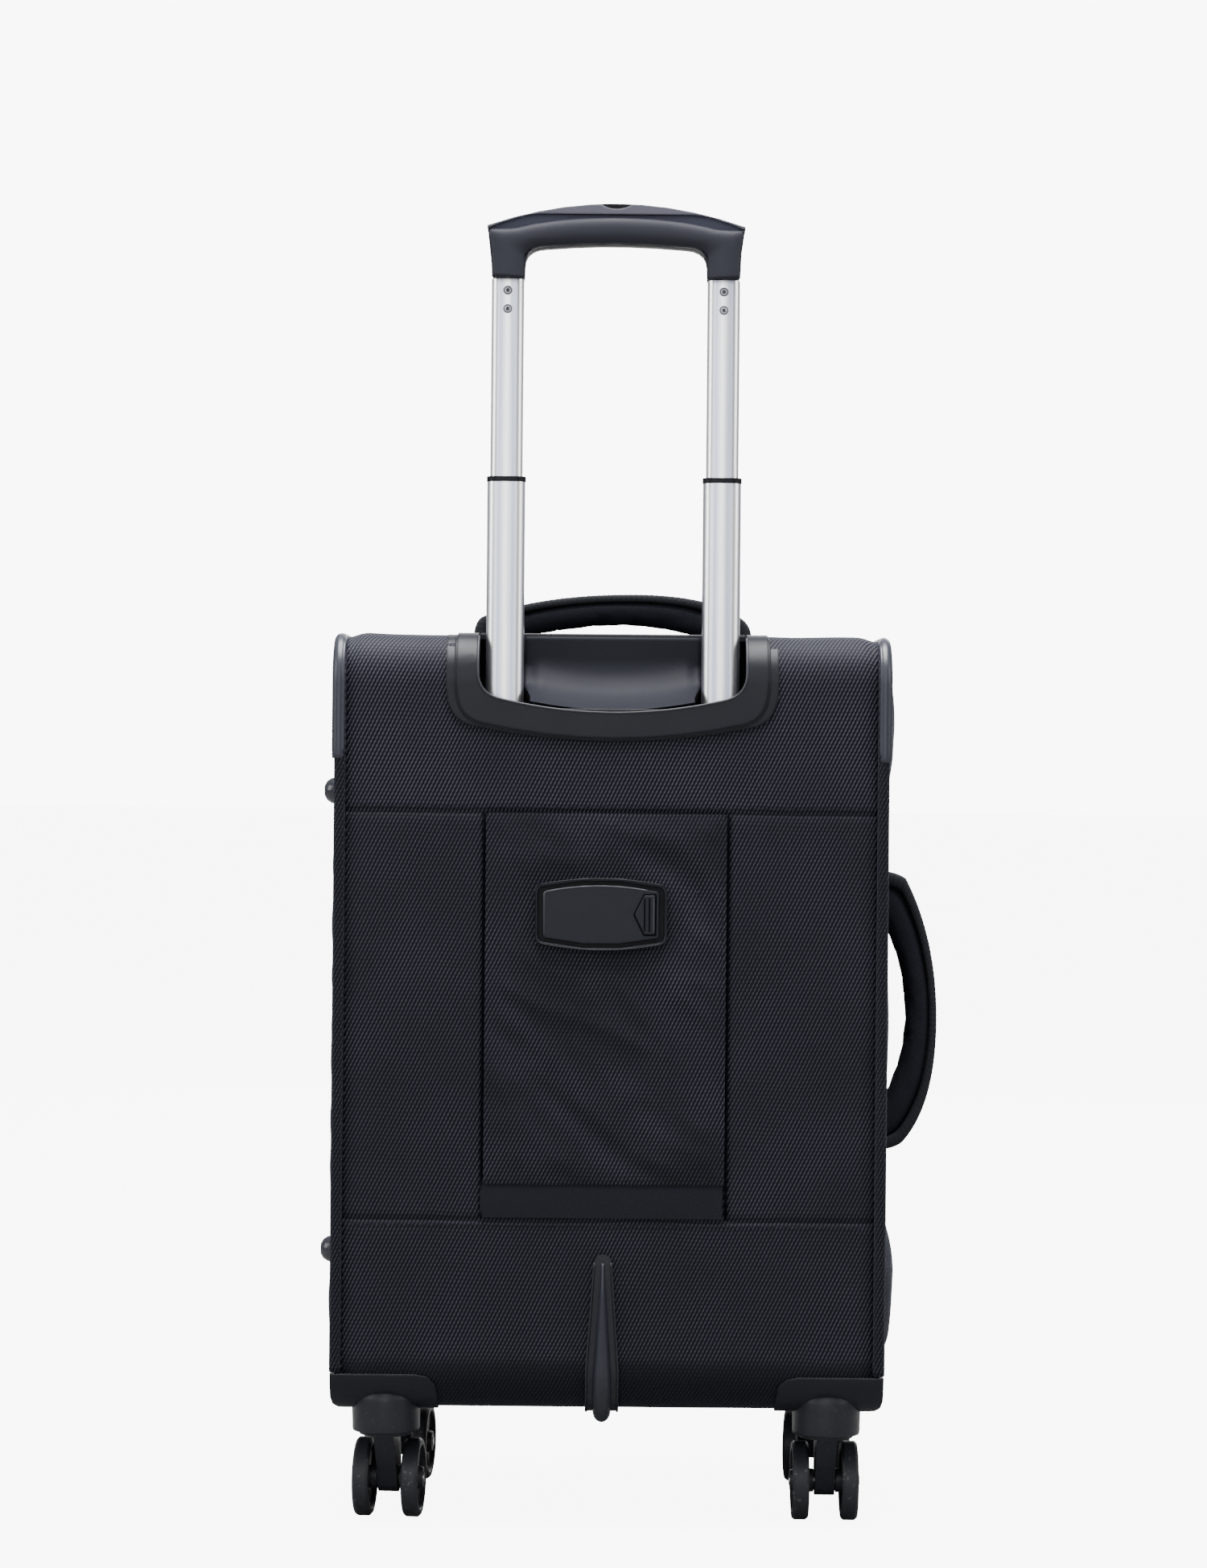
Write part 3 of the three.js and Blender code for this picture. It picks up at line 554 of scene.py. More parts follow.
def puffed(made, pressure, cap, held, frames=20, looseness=0.0):
    """Swells a mesh as cloth over some frames and keeps the result. held(x, y, z) says what is sewn down."""
    rest = [v.co.copy() for v in made.data.vertices]
    group = made.vertex_groups.new(name="sewn")
    for index, co in enumerate(rest):
        share = held(*((co - ORIGIN) * 1000))
        if share > 0:
            group.add([index], share, "REPLACE")
    cloth = made.modifiers.new("cloth", "CLOTH")
    cloth.settings.vertex_group_mass = "sewn"
    cloth.settings.use_pressure = True
    cloth.settings.uniform_pressure_force = pressure
    cloth.settings.shrink_min = -looseness
    cloth.settings.quality = 6
    cloth.settings.tension_stiffness = 25
    cloth.settings.compression_stiffness = 25
    cloth.settings.bending_stiffness = 0.8
    cloth.settings.effector_weights.gravity = 0
    cloth.point_cache.frame_start, cloth.point_cache.frame_end = 1, frames
    for frame_number in range(1, frames + 1):
        scene.frame_set(frame_number)
    shown = made.evaluated_get(bpy.context.evaluated_depsgraph_get()).to_mesh()
    moved = [v.co.copy() for v in shown.vertices]
    made.to_mesh_clear()
    made.modifiers.remove(cloth)
    made.vertex_groups.remove(group)
    for vertex, start, end in zip(made.data.vertices, rest, moved):
        step = end - start
        limit = cap / 1000
        vertex.co = start + step * (min(1.0, limit / step.length) if step.length > 0 else 1.0)
    scene.frame_set(1)
    return made


def refined(made):
    fine = made.modifiers.new("fine", "SUBSURF")
    fine.levels = 1
    fine.render_levels = 1
    return made


# ---- The case's cloth, from its side view ----
def side_profile(arc=9, step=5.0):
    """From the top's front edge over the back to the bottom's front edge, as (y, z, out_y, out_z)."""
    found = [(y, TOP, 0, 1) for y in reversed(ticks(ROUND, DEPTH - 1, step, 47))]

    def corner(cy, cz, start, end):
        for k in range(1, arc):
            a = math.radians(start + (end - start) * k / arc)
            found.append((cy + ROUND * math.cos(a), cz + ROUND * math.sin(a), math.cos(a), math.sin(a)))

    corner(ROUND, TOP - ROUND, 90, 180)
    seam_rows = [z + d for z in SEAMS for d in (-3, -1.4, 0, 1.4, 3)]
    found.extend((0.0, z, -1, 0) for z in reversed(ticks(BOTTOM + ROUND, TOP - ROUND, 4.5, *seam_rows)))
    corner(ROUND, BOTTOM + ROUND, 180, 270)
    found.extend((y, BOTTOM, 0, -1) for y in ticks(ROUND, DEPTH - ROUND, step))
    corner(DEPTH - ROUND, BOTTOM + ROUND, 270, 360)
    found.append((DEPTH, BOTTOM + ROUND, 1, 0))
    return found


SEAMS = (185.0, 440.0)
PATCH_LOW, PATCH_HIGH = span("centre_panel")
HEM = 207.5
WRAP_HALF = 166.5
PIPE_X = 170.2
PIPE_RADIUS = 3.7
CLOTH_THICK = 2.2
FACING_BACK = (0, -1, 0)


def wrap():
    """The cloth over the top, the back and the bottom: edges drawn in, grooves at the seams."""
    rows = side_profile()
    borders = (PATCH_LOW.x - 0.8, PATCH_HIGH.x + 0.8)
    near_edges = [s * x for s in (-1, 1) for x in (164.5, 162, 159, 155.5)]
    near_patch = [b + d for b in borders for d in (-2.4, -1.1, 0, 1.1)]
    columns = ticks(-WRAP_HALF, WRAP_HALF, 5, -95, 95, *near_edges, *near_patch)
    points, uvs, run = [], [], 0.0
    for k, (y, z, oy, oz) in enumerate(rows):
        run += math.dist((y, z), rows[k - 1][:2]) if k else 0
        back = oy < -0.5
        for x in columns:
            edge = smooth_step(WRAP_HALF - 13, WRAP_HALF, abs(x))
            out = -3.2 * edge * edge * (1 - 0.6 * smooth_step(0.1, 0.9, oz))
            calm = 1 - smooth_step(60, 110, abs(x)) if z > 150 else 1
            out += (0.75 - 0.65 * calm) * ripple(x, y, z * 0.6, 46, 1) - 0.25
            if back and 60 < z < 100:
                out += 0.5 * ripple(x * 0.35, 0, z, 9, 2) * smooth_step(110, 88, z)
            for seam in SEAMS:
                out -= 1.5 * groove(z, seam, 1.3) * (back or z > 150)
            if back and SEAMS[0] < z < SEAMS[1]:
                out -= sum(1.6 * groove(x, border, 1.1) for border in borders)
            if not back and oz > 0.6:
                out += 1.2 * smooth_step(0, 1, ripple(x, y, 0, 60, 4) + 0.4) * (1 - edge) - 0.6
            out += 2.0 * smooth_step(0.1, 0.9, oz) * (1 - 0.4 * edge)
            points.append((x, y + oy * out, z + oz * out))
            uvs.append((x, -run))

    def keep(r, c):
        """Leaves the cloth out where the recess housing stands in it."""
        x = abs(columns[c] + columns[c + 1]) / 2
        y, z = ((rows[r][k] + rows[r + 1][k]) / 2 for k in (0, 1))
        return x > 95 or y > 47 or z < 493 + 14 * (x / 95) ** 3

    faces = grid_faces(len(rows), len(columns), keep=keep)
    made = piece("wrap_cloth", points, faces, "case", "shell_twill", uvs, ("wrap_panel",))
    turn_over(made)
    return lined(made, CLOTH_THICK)


def side_panel(sign, name):
    """The padded cloth of the left (-1) or right (1) side."""
    rows = []
    for z in ticks(BOTTOM + 0.5, TOP - 0.5, 6.5, BOTTOM + 5, BOTTOM + 12, TOP - 5, TOP - 12):
        low = 0.0
        for centre in (BOTTOM + ROUND, TOP - ROUND):
            if (z - centre) * (centre - 300) > 0:
                low = ROUND - math.sqrt(max(0, ROUND**2 - (z - centre) ** 2))
        high = DEPTH - 1.0 - (low if z < BOTTOM + ROUND else 0)
        rows.append([(y, z) for y in ticks(low + 0.5, high, (high - low) / 28)])

    def fullness(y, z):
        """How far the padding swells the panel: most above the upper seam and over the casters."""
        inward = smooth_step(2, 26, min(y, DEPTH - y))
        rim = smooth_step(0, 20, z - BOTTOM - 26) * smooth_step(0, 16, TOP - 3 - z)
        high = (3.4 if sign > 0 else 0.6) * smooth_step(445, 500, z)
        low = 6.2 * smooth_step(186, 150, z) if sign > 0 else 3.6 * smooth_step(190, 130, z)
        return (0.8 + high + low) * inward * rim

    points = [(sign * (HALF - 1.6 + fullness(y, z)), y, z) for row in rows for y, z in row]
    uvs = [(y * sign, z) for row in rows for y, z in row]
    faces = grid_faces(len(rows), len(rows[0]))
    made = piece(name + "_cloth", points, faces, "case", "shell_twill", uvs, (name,))
    if sign < 0:
        turn_over(made)
    handle_ends = [(92, 227), (92, 398)]
    side_feet = [(y, z) for y in (48, 137) for z in (156, 452)]
    fixed, reach = (handle_ends, 20) if sign > 0 else (side_feet, 16)

    def held(x, y, z):
        """The cloth is sewn down at its border, over the wheel housings and round what is fastened to it."""
        border = min(y, DEPTH - y, z - BOTTOM, TOP - z)
        corner = math.hypot(ROUND - y, max(BOTTOM + ROUND - z, z - TOP + ROUND)) if y < ROUND else 0
        if border < 4 or (corner > ROUND - 4 and (z < BOTTOM + ROUND or z > TOP - ROUND)):
            return 1.0
        if z < 92 and (y < 66 or y > DEPTH - 66):
            return 1.0
        return 1.0 if any(math.hypot(y - a, z - b) < reach for a, b in fixed) else 0.0

    puffed(made, 1.6, 5.0, held, looseness=0.012)
    return lined(refined(made), CLOTH_THICK)


def patch():
    """The patch in the middle of the back with its folds, the band under it and its seams, with dark cords
    along its sides that paint the shadow in the side seams.
    """
    low_x, high_x = PATCH_LOW.x + 0.3, PATCH_HIGH.x - 0.3
    xs, zs = ticks(low_x, high_x, 3.6), ticks(HEM, SEAMS[1] - 0.5, 3.6)
    lean = math.radians(52)
    points, uvs = [], []
    for z in zs:
        for x in xs:
            edge = min(x - low_x, high_x - x, z - HEM, SEAMS[1] - z)
            free = smooth_step(0, 16, edge)
            u = x * math.cos(lean) + z * math.sin(lean)
            v = -x * math.sin(lean) + z * math.cos(lean)
            fold = 1 - abs(ripple(u, v * 0.28, 0, 31, 3)) * 2.4
            fold = fold * fold * smooth_step(-0.3, 0.5, ripple(x, 0, z, 70, 9) + 0.2)
            tag = smooth_step(30, 52, math.hypot((x + 6) * 0.7, (z - 377) * 1.3))
            across = math.hypot(x + 1, z - 346)
            turn = math.atan2(z - 346, x + 1)
            drawn = 2.8 * groove(across, 71, 9) * smooth_step(-0.4, 0.1, turn) * smooth_step(1.5, 1.0, turn)
            drawn += 1.8 * groove(u, 165 + 0.12 * v, 8) * smooth_step(330, 300, z)
            out = 1.9 + free * (1.6 * fold * tag + 0.6 * ripple(x, 0, z, 17, 5) * tag + 0.8 * tag - drawn)
            points.append((x, -out + 0.5 * (1 - smooth_step(0, 4, edge)), z))
            uvs.append((x, z))
    faces = grid_faces(len(zs), len(xs))
    refined(piece("back_patch", points, faces, "case", "patch_twill", uvs, ("centre_panel",)))
    band_x = ticks(low_x - 1.8, high_x - 1.0, 9)
    band = []
    for t in (0, 0.1, 0.35, 0.65, 0.9, 1):
        z = SEAMS[0] + 1.5 + (HEM + 1.5 - SEAMS[0]) * t
        for x in band_x:
            swell = 0.35 * math.sin(math.pi * t) + 0.2 * ripple(x, 0, t * 20, 14, 21)
            band.append((x, -0.55 - swell, z))
    piece("patch_band", band, grid_faces(6, len(band_x)), "case", "handle_webbing", seen_flat(band))
    for side, x in (("left", low_x + 2.6), ("right", high_x - 2.6)):
        run = [(x, -1.5, HEM + 2), (x, -1.5, SEAMS[1] - 3)]
        stitches("patch_stitches_" + side, run, "case", "patch_twill", FACING_BACK)
    # Painted shadow: near-black cords lie in the grooves along the patch's sides.
    seam = moulding("patch_edge_shadow_finish", (0.0024, 0.0026, 0.004), 0.8, 0.1, gloss=0.0)
    for side, x in (("left", low_x - 1.0), ("right", high_x + 1.0)):
        path = [(x, -0.1, z) for z in ticks(SEAMS[0] + 1, SEAMS[1] - 1, 12)]
        tube("patch_edge_shadow_" + side, path, 0.75, "case", "patch_twill", sides=8, finish=seam)
    run = [(low_x + 2, -1.7, HEM + 2.8), (high_x - 2, -1.7, HEM + 2.8)]
    stitches("patch_stitches_hem", run, "case", "patch_twill", FACING_BACK)
    for k, z in enumerate((SEAMS[1] + 3.2, SEAMS[0] - 3.2)):
        run = [(-WRAP_HALF + 6, -0.15, z), (WRAP_HALF - 6, -0.15, z)]
        stitches(f"seam_stitches_{k}", run, "case", "shell_twill", FACING_BACK)


PIPE_CLOTH = twill("piping_cloth", INK, THREAD_LIGHT, 0.45)
TRIM = moulding("corner_trim_finish", (0.02, 0.0215, 0.03), 0.33, 0.1, gloss=0.3)


def edge_piping():
    """The piping along the back's edges, left out over the casters, and the trims on the top corners."""
    line = [(y - oy * 2.4, z - oz * 2.4) for y, z, oy, oz in side_profile(arc=14, step=8)]
    for side, sign in (("left", -1), ("right", 1)):
        x = sign * PIPE_X
        above = [(x, y, z) for y, z in line if z > 89 and y < 100 or z > 300]
        tube(f"edge_piping_{side}", above, PIPE_RADIUS, "case", "shell_twill", sides=12, finish=PIPE_CLOTH)
        below = [(x, y, z) for y, z in line if z < 75 and 64 < y < DEPTH - 64]
        tube(f"bottom_piping_{side}", below, PIPE_RADIUS, "case", "shell_twill", sides=12, finish=PIPE_CLOTH)
        corner = resample([(x + sign * 0.8, y, z) for y, z in line if z > 469 and y < 84], 60)
        tube(f"corner_trim_{side}", corner, 4.3, "case", "tag_plastic", sides=24, finish=TRIM,
             swell=lambda t: min(1.0, 0.94 + 1.6 * min(t, 1 - t)))
        bead = [(p[0] - sign * 2.6, p[1] - 2.6, p[2] + 1.2) for p in corner]
        tube(f"corner_bead_{side}", bead[1:-1], 1.1, "case", "tag_plastic", sides=10, finish=TRIM)


# ---- Carry handles ----
WEBBING = plain_cloth("bound_webbing_cloth", (0.0105, 0.0108, 0.0128), 1.6, 0.95, 2.6)


def carry_handle(name, node_name, rise, skew, place):
    """A padded grip under a bound webbing strap. place(along, across, out) gives case coordinates."""
    outer = bezier((-89, 0), (-90, 0.3 * rise), (-85, 0.48 * rise), 6)
    outer += bezier((-85, 0.48 * rise), (-46, rise), (skew, rise), 30)
    outer += bezier((skew, rise), (58 + skew / 2, rise), (85, 0.44 * rise), 30)
    outer += bezier((85, 0.44 * rise), (90, 0.25 * rise), (89, 0), 6) + [(89, 0)]
    inner = bezier((-64, 0), (-40, rise - 19), (skew, rise - 19), 30)
    inner += bezier((skew, rise - 19), (40, rise - 19), (64, 0), 30) + [(64, 0)]
    count, sides = 90, 28
    outer, inner = resample(outer, count), resample(inner, count)

    def swept(part, near, far, half, wrinkle, square):
        points, uvs = [], []
        for k in range(count):
            o, i = Vector(outer[k]), Vector(inner[k])
            down = i - o
            for s in range(sides):
                a = 2 * math.pi * s / sides
                c, n = math.cos(a), math.sin(a)
                across = half * math.copysign(abs(c) ** square, c)
                depth = (1 - math.copysign(abs(n) ** square, n)) / 2
                tight = smooth_step(0.1, 0.5, ripple(k * 2.2, s * 0.8, 0, 5, 2))
                fold = 0.45 * tight * smooth_step(0.55, 1, depth)
                crease = wrinkle * (depth * 0.4 * ripple(k * 2.2, s * 1.5, 0, 16, 2) + fold)
                p = o + down * (near + (far - near) * depth) - down.normalized() * crease
                points.append(place(p.x, across * (1 + 0.03 * crease), max(p.y, 0.2)))
                uvs.append((k * 2.2, across))
        faces = grid_faces(count, sides, wrap=True)
        faces += [tuple(reversed(range(sides))), tuple(range((count - 1) * sides, count * sides))]
        return piece(f"{name}_{part}", points, faces, "case", "handle_webbing", uvs)

    pad = swept("pad", 0.22, 1.0, 14.2, 1.3, 0.72)
    puffed(pad, 2.0, 1.6, lambda *place: 0.0, frames=12, looseness=0.02)
    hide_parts(node_name)
    strap = swept("strap", -0.02, 0.27, 15.6, 0.3, 0.42)
    strap.data.materials[0] = WEBBING
    pairs = [(Vector(o), Vector(i)) for o, i in zip(outer[3:-3], inner[3:-3])]
    rows = [o + (o - i).normalized() * 0.1 for o, i in pairs]
    out = Vector(place(0, 0, 1)) - Vector(place(0, 0, 0))
    for side, across in (("back", -11), ("front", 11)):
        run = [place(p.x, across, p.y) for p in rows]
        stitches(f"{name}_stitches_{side}", run, "case", "handle_webbing", out)


# ---- Lid, pockets and zips ----
LID_LOW, LID_HIGH = span("lid_shell")


def rounded_ring(inset, y, box=None, radius=12.0):
    """Points round a rounded rectangle facing Y, evenly enough to join rings of any inset."""
    x0, x1, z0, z1 = box or (LID_LOW.x, LID_HIGH.x, LID_LOW.z, LID_HIGH.z)
    x0, x1, z0, z1 = x0 + inset, x1 - inset, z0 + inset, z1 - inset
    r = max(0.6, radius - inset)
    ring = []
    corners = [(x1 - r, z1 - r, 0), (x0 + r, z1 - r, 90), (x0 + r, z0 + r, 180), (x1 - r, z0 + r, 270)]
    for k, (cx, cz, start) in enumerate(corners):
        for a in (math.radians(start + 15 * s) for s in range(7)):
            ring.append((cx + r * math.cos(a), y, cz + r * math.sin(a)))
        nx, nz, turn = corners[(k + 1) % 4]
        a = math.radians(turn)
        here, end = ring[-1], (nx + r * math.cos(a), y, nz + r * math.sin(a))
        ring += [tuple(p + (q - p) * t / 12 for p, q in zip(here, end)) for t in range(1, 12)]
    return ring


def lid_cloth():
    """The lid's cloth in rings, from its rear edge round to the middle of its face, and its piping."""
    y0, y1 = LID_LOW.y + 0.4, LID_HIGH.y
    steps = [(0, y0), (0.3, y0 + 3), (-0.6, y0 + 7), (-0.9, y0 + 11)]
    steps += [(0.2, y1 - 4.5), (1.6, y1 - 2), (4, y1 - 0.7), (8, y1 - 0.3), (14, y1 - 0.2), (30, y1 - 0.2)]
    steps += [(inset, y1 - 0.3) for inset in (70, 120, 160)]
    points, uvs, width = [], [], 0
    for inset, y in steps:
        ring = rounded_ring(max(inset, -0.9), y)
        width = len(ring)
        for x, y_here, z in ring:
            out = 0.5 * ripple(x, y_here, z, 30, 8) if 0 < inset < 20 else 0
            points.append((x, y_here + out * 0.6, z))
            turned = y_here - y0 if inset < 1 else 0
            uvs.append((x + (turned if abs(x) > 150 else 0), z + (turned if z > 530 or z < 100 else 0)))
    faces = flipped(grid_faces(len(steps), width, wrap=True))
    last = (len(steps) - 1) * width
    faces.append(tuple(reversed(range(last, last + width))))
    made = piece("lid_cloth", points, faces, "lid", "shell_twill", uvs, ("lid_shell",))
    bpy.context.view_layer.update()
    lined(made, 1.8)
    for name, inset, y, radius in (("front", 3.2, y1 - 1.6, 2.6), ("rear", 0.6, y0 + 4.6, 1.8)):
        ring = rounded_ring(inset, y)
        tube(f"lid_piping_{name}", ring, radius, "lid", "shell_twill", closed=True, finish=PIPE_CLOTH)


def pocket(name):
    """A filled-out pocket on the lid, sewn down at its border, and its piping."""
    low, high = span(name)
    base, bulge = low.y, high.y - low.y
    xs, zs = ticks(low.x, high.x, 6), ticks(low.z, high.z, 6)
    points, uvs = [], []
    for z in zs:
        for x in xs:
            a = abs(2 * (x - low.x) / (high.x - low.x) - 1)
            b = abs(2 * (z - low.z) / (high.z - low.z) - 1)
            crown = (1 - a**8) ** 0.5 * (1 - b**6) ** 0.5
            sag = 1 + 0.18 * (low.z + high.z - 2 * z) / (high.z - low.z)
            out = 0.15 + (bulge - 4.5) * crown * sag + 0.9 * ripple(x, 0, z, 36, 11) * crown
            pull = 3.5 * (1 - crown)
            points.append((x + pull * (1 if x < 0 else -1) * (a > 0.8), base + out, z))
            uvs.append((x, z))
    faces = flipped(grid_faces(len(zs), len(xs)))
    made = piece(name + "_cloth", points, faces, "lid", "shell_twill", uvs, (name,))

    def held(x, y, z):
        return 1.0 if min(x - low.x, high.x - x, z - low.z, high.z - z) < 7 else 0.0

    puffed(made, 1.4, 4.2, held, looseness=0.02)
    refined(made)
    ring = rounded_ring(1.0, base + 1.7, box=(low.x, high.x, low.z, high.z), radius=18)
    tube(name + "_piping", ring, 1.9, "lid", "shell_twill", closed=True, finish=PIPE_CLOTH)


TOOTH_PITCH = 2.0


def teeth(name, path, body, out, half=1.7):
    """A zip's row of teeth along a path, standing up in the direction out."""
    marks = resample(path, int(sum(math.dist(a, b) for a, b in zip(path, path[1:])) / TOOTH_PITCH))
    shapes = []
    for k in range(len(marks) - 1):
        a, b = Vector(marks[k]), Vector(marks[k + 1])
        along = (b - a).normalized()
        up = Vector(out(a)) if callable(out) else Vector(out)
        across = along.cross(up).normalized()
        shapes.append((a, across * half, along * 0.62, up * 0.75, 0.6))
    return many(name, shapes, body, "slider_metal", finish=FINISHES["tag_plastic"])


def zips():
    """Tapes, teeth and stitches of the pocket zips and the main zip, and the piping beside the main zip."""
    face = LID_HIGH.y + 0.15
    for name in ("lower_pocket", "upper_pocket"):
        low, high = span(name + "_slider")
        z = (low.z + high.z) / 2
        half = span("lower_pocket")[1].x - 4
        tape = [(x, face, z + d) for d in (-6.2, -2, 2, 6.2) for x in (-half, 0, half)]
        piece(name + "_zip_tape", tape, flipped(grid_faces(4, 3)), "lid", "handle_webbing", seen_flat(tape))
        teeth(name + "_zip_teeth", [(-half + 3, face + 0.5, z), (half - 3, face + 0.5, z)], "lid", (0, 1, 0))
        for side, d in (("low", -4.6), ("high", 4.6)):
            run = [(-half + 2, face + 0.15, z + d), (half - 2, face + 0.15, z + d)]
            stitches(f"{name}_zip_stitches_{side}", run, "lid", "handle_webbing", (0, 1, 0))
    centre = (LID_LOW + LID_HIGH) / 2

    def away(p):
        """Out of the case, across the side that a point of the zip runs along."""
        x, z = p.x - centre.x, p.z - centre.z
        return (math.copysign(1, x), 0, 0) if abs(x) / 171 > abs(z) / 226 else (0, 0, math.copysign(1, z))

    # The tape's two edges and its teeth, in millimetres in front of the lid's rear edge.
    for body, near, far, row in (("case", -5.5, -0.75, -1.2), ("lid", -0.15, 4, 0.75)):
        rings = [rounded_ring(1.6, LID_LOW.y + d) for d in (near, far)]
        faces = flipped(grid_faces(2, len(rings[0]), wrap=True))
        uvs = [(k * 9.0, p[1]) for ring in rings for k, p in enumerate(ring)]
        piece("main_zip_tape_" + body, rings[0] + rings[1], faces, body, "handle_webbing", uvs)
        line = rounded_ring(1.1, LID_LOW.y + row)
        teeth("main_zip_teeth_" + body, line + line[:1], body, away, half=0.7)
    around = (-HALF + 2.4, HALF - 2.4, BOTTOM + 30, TOP - 2.4)
    front = rounded_ring(-0.2, DEPTH - 4.6, box=around, radius=8)
    tube("front_piping", front, 2.6, "case", "shell_twill", closed=True, finish=PIPE_CLOTH)


# ---- Small hard pieces ----
SKIN = moulding("grip_skin_finish", (0.019, 0.0196, 0.0262), 0.5, 0.8, gloss=0.09)
GRIP_END = span("upper_tube_left")[1].z


def turned(name, centre, rings, body, slot, finish=None):
    """A small turned cap facing the trolley side, from rings of (radius, height), closed in the middle."""
    x, y, z = centre
    sides = 18
    points = [(x + r * math.cos(a), y - h, z + r * math.sin(a))
              for r, h in rings for a in (2 * math.pi * s / sides for s in range(sides))]
    faces = flipped(grid_faces(len(rings), sides, wrap=True))
    faces.append(tuple(range((len(rings) - 1) * sides, len(rings) * sides)))
    return piece(name, points, faces, body, slot, finish=finish)


SCREW_HEIGHTS = (768.0, 756.4)
# Rings of (radius, height) off the tube's face.
SEAT = [(2.9, 0.0), (2.8, 0.14), (2.0, 0.16)]
HEAD = [(1.95, 0.1), (1.8, 0.3), (1.2, 0.36)]


def screws():
    """Two nearly flush cross-head screws on each upper tube, low enough to slide into the middle tube."""
    ride = ("trolley_upper", "rod_steel")
    # Painted shade: the seat ring round each head and the cross slots are dark.
    dark = moulding("screw_seat_painted_shade_finish", (0.12, 0.124, 0.15), 0.5, 0.1, gloss=0.3)
    bright = moulding("screw_head_finish", (0.5, 0.51, 0.56), 0.4, 0.1, gloss=0.5)
    for side in ("left", "right"):
        low, high = span("upper_tube_" + side)
        x = (low.x + high.x) / 2
        for z in SCREW_HEIGHTS:
            label = f"{side}_{round(z)}"
            turned("screw_seat_" + label, (x, low.y, z), SEAT, *ride, dark)
            turned("screw_head_" + label, (x, low.y, z), HEAD, *ride, bright)
            middle = (x, low.y - 0.34, z)
            slots = [(middle, (1.0, 0, 0), (0, 0, 0.2), (0, 0.05, 0), 0.8),
                     (middle, (0, 0, 1.0), (0.2, 0, 0), (0, 0.05, 0), 0.8)]
            many("screw_slots_" + label, slots, *ride, dark)


def tag_details():
    """Grooves and rib of the tag's latch, the gap round it, and the beads round the cover and the frame, with
    painted shade in the grooves and the gap, painted highlights on the rib and the cover's bead, and a darker
    bead on the frame.
    """
    low, high = span("id_tag_latch")
    z = (low.z + high.z) / 2
    # Painted shade: near-black strips fill the latch's grooves and the gap round it.
    gap = moulding("latch_painted_shade_finish", (0.0022, 0.0023, 0.0035), 0.8, 0.1, gloss=0.0)
    # Painted highlight: the latch's rib is lighter than the tag's plastic.
    edge = moulding("latch_rib_painted_highlight_finish", (0.02, 0.0205, 0.0265), 0.4, 0.1, gloss=0.2)
    y = low.y - 0.1
    grooves = [((high.x - d, y, z), (0, 0, half), (0.42, 0, 0), (0, 0.12, 0), 0.9)
               for d, half in ((3.5, 10.6), (6.5, 10.2))]
    many("latch_grooves", grooves, "tag_latch", "tag_plastic", gap)
    ribs = [((high.x - 0.9, y - 0.15, z), (0, 0, 10.8), (0.55, 0, 0), (0, 0.3, 0), 0.8)]
    many("latch_ribs", ribs, "tag_latch", "tag_plastic", edge)
    tip, shoulder, right = low.x - 0.35, low.x + 5.9, high.x + 0.4
    upper, lower = high.z + 0.4, low.z - 0.4
    corners = [(right, upper), (shoulder, upper), (tip, z), (shoulder, lower), (right, lower)]
    sides, face = [], span("id_tag_cover")[0].y - 0.02
    for (ax, az), (bx, bz) in zip(corners, corners[1:] + corners[:1]):
        along = Vector((bx - ax, 0, bz - az)) / 2
        across = Vector((-along.z, 0, along.x)).normalized() * 0.5
        sides.append((((ax + bx) / 2, face, (az + bz) / 2), along, across, (0, 0.1, 0), 1.0))
    many("latch_outline", sides, "tag_cover", "tag_plastic", gap)
    # Painted highlight on the cover: its bead runs over the left and top edges only, lighter than the tag's
    # plastic. Painted shade on the frame: its bead runs all round in a darker copy of the tag's plastic,
    # toning down the light it catches.
    for node_name, body, dip, radius, colour in (
        ("id_tag_cover", "tag_cover", 0.35, 0.55, (0.036, 0.037, 0.047)),
        ("id_tag_frame", "case", 0.25, 0.5, (0.0034, 0.0037, 0.0054)),
    ):
        round_it = body == "case"
        a, b = span(node_name)
        inward = radius * 0.7
        x0, x1, z0, z1 = a.x + inward, b.x - inward, a.z + inward, b.z - inward
        sag = 3.4
        corner = 2.0 if body == "tag_cover" else 5.6
        top = bezier((x0 + corner, z1 - sag), ((x0 + x1) / 2, z1 + sag), (x1 - corner, z1 - sag), 30)
        right = bezier((x1 - corner, z1 - sag), (x1, z1 - sag - 0.4), (x1, z1 - sag - corner), 5)
        bottom = bezier((x1 - corner, z0 + sag), ((x0 + x1) / 2, z0 - sag), (x0 + corner, z0 + sag), 30)
        down = bezier((x1, z0 + sag + corner), (x1, z0 + sag + 0.4), (x1 - corner, z0 + sag), 5)
        left = bezier((x0 + corner, z0 + sag), (x0, z0 + sag + 0.4), (x0, z0 + sag + corner), 5)
        up = bezier((x0, z1 - sag - corner), (x0, z1 - sag - 0.4), (x0 + corner, z1 - sag), 5)
        rounds = top + right + down + bottom + left + up if round_it else left[-1:] + up + top[:-1]
        finish = moulding(node_name + "_edge_finish", colour, 0.35, 0.1, gloss=0.12 if round_it else 0.35)
        path = [(x, a.y + dip, z) for x, z in rounds]
        tube(node_name + "_edge", path, radius, body, "tag_plastic", closed=round_it, sides=8, finish=finish)


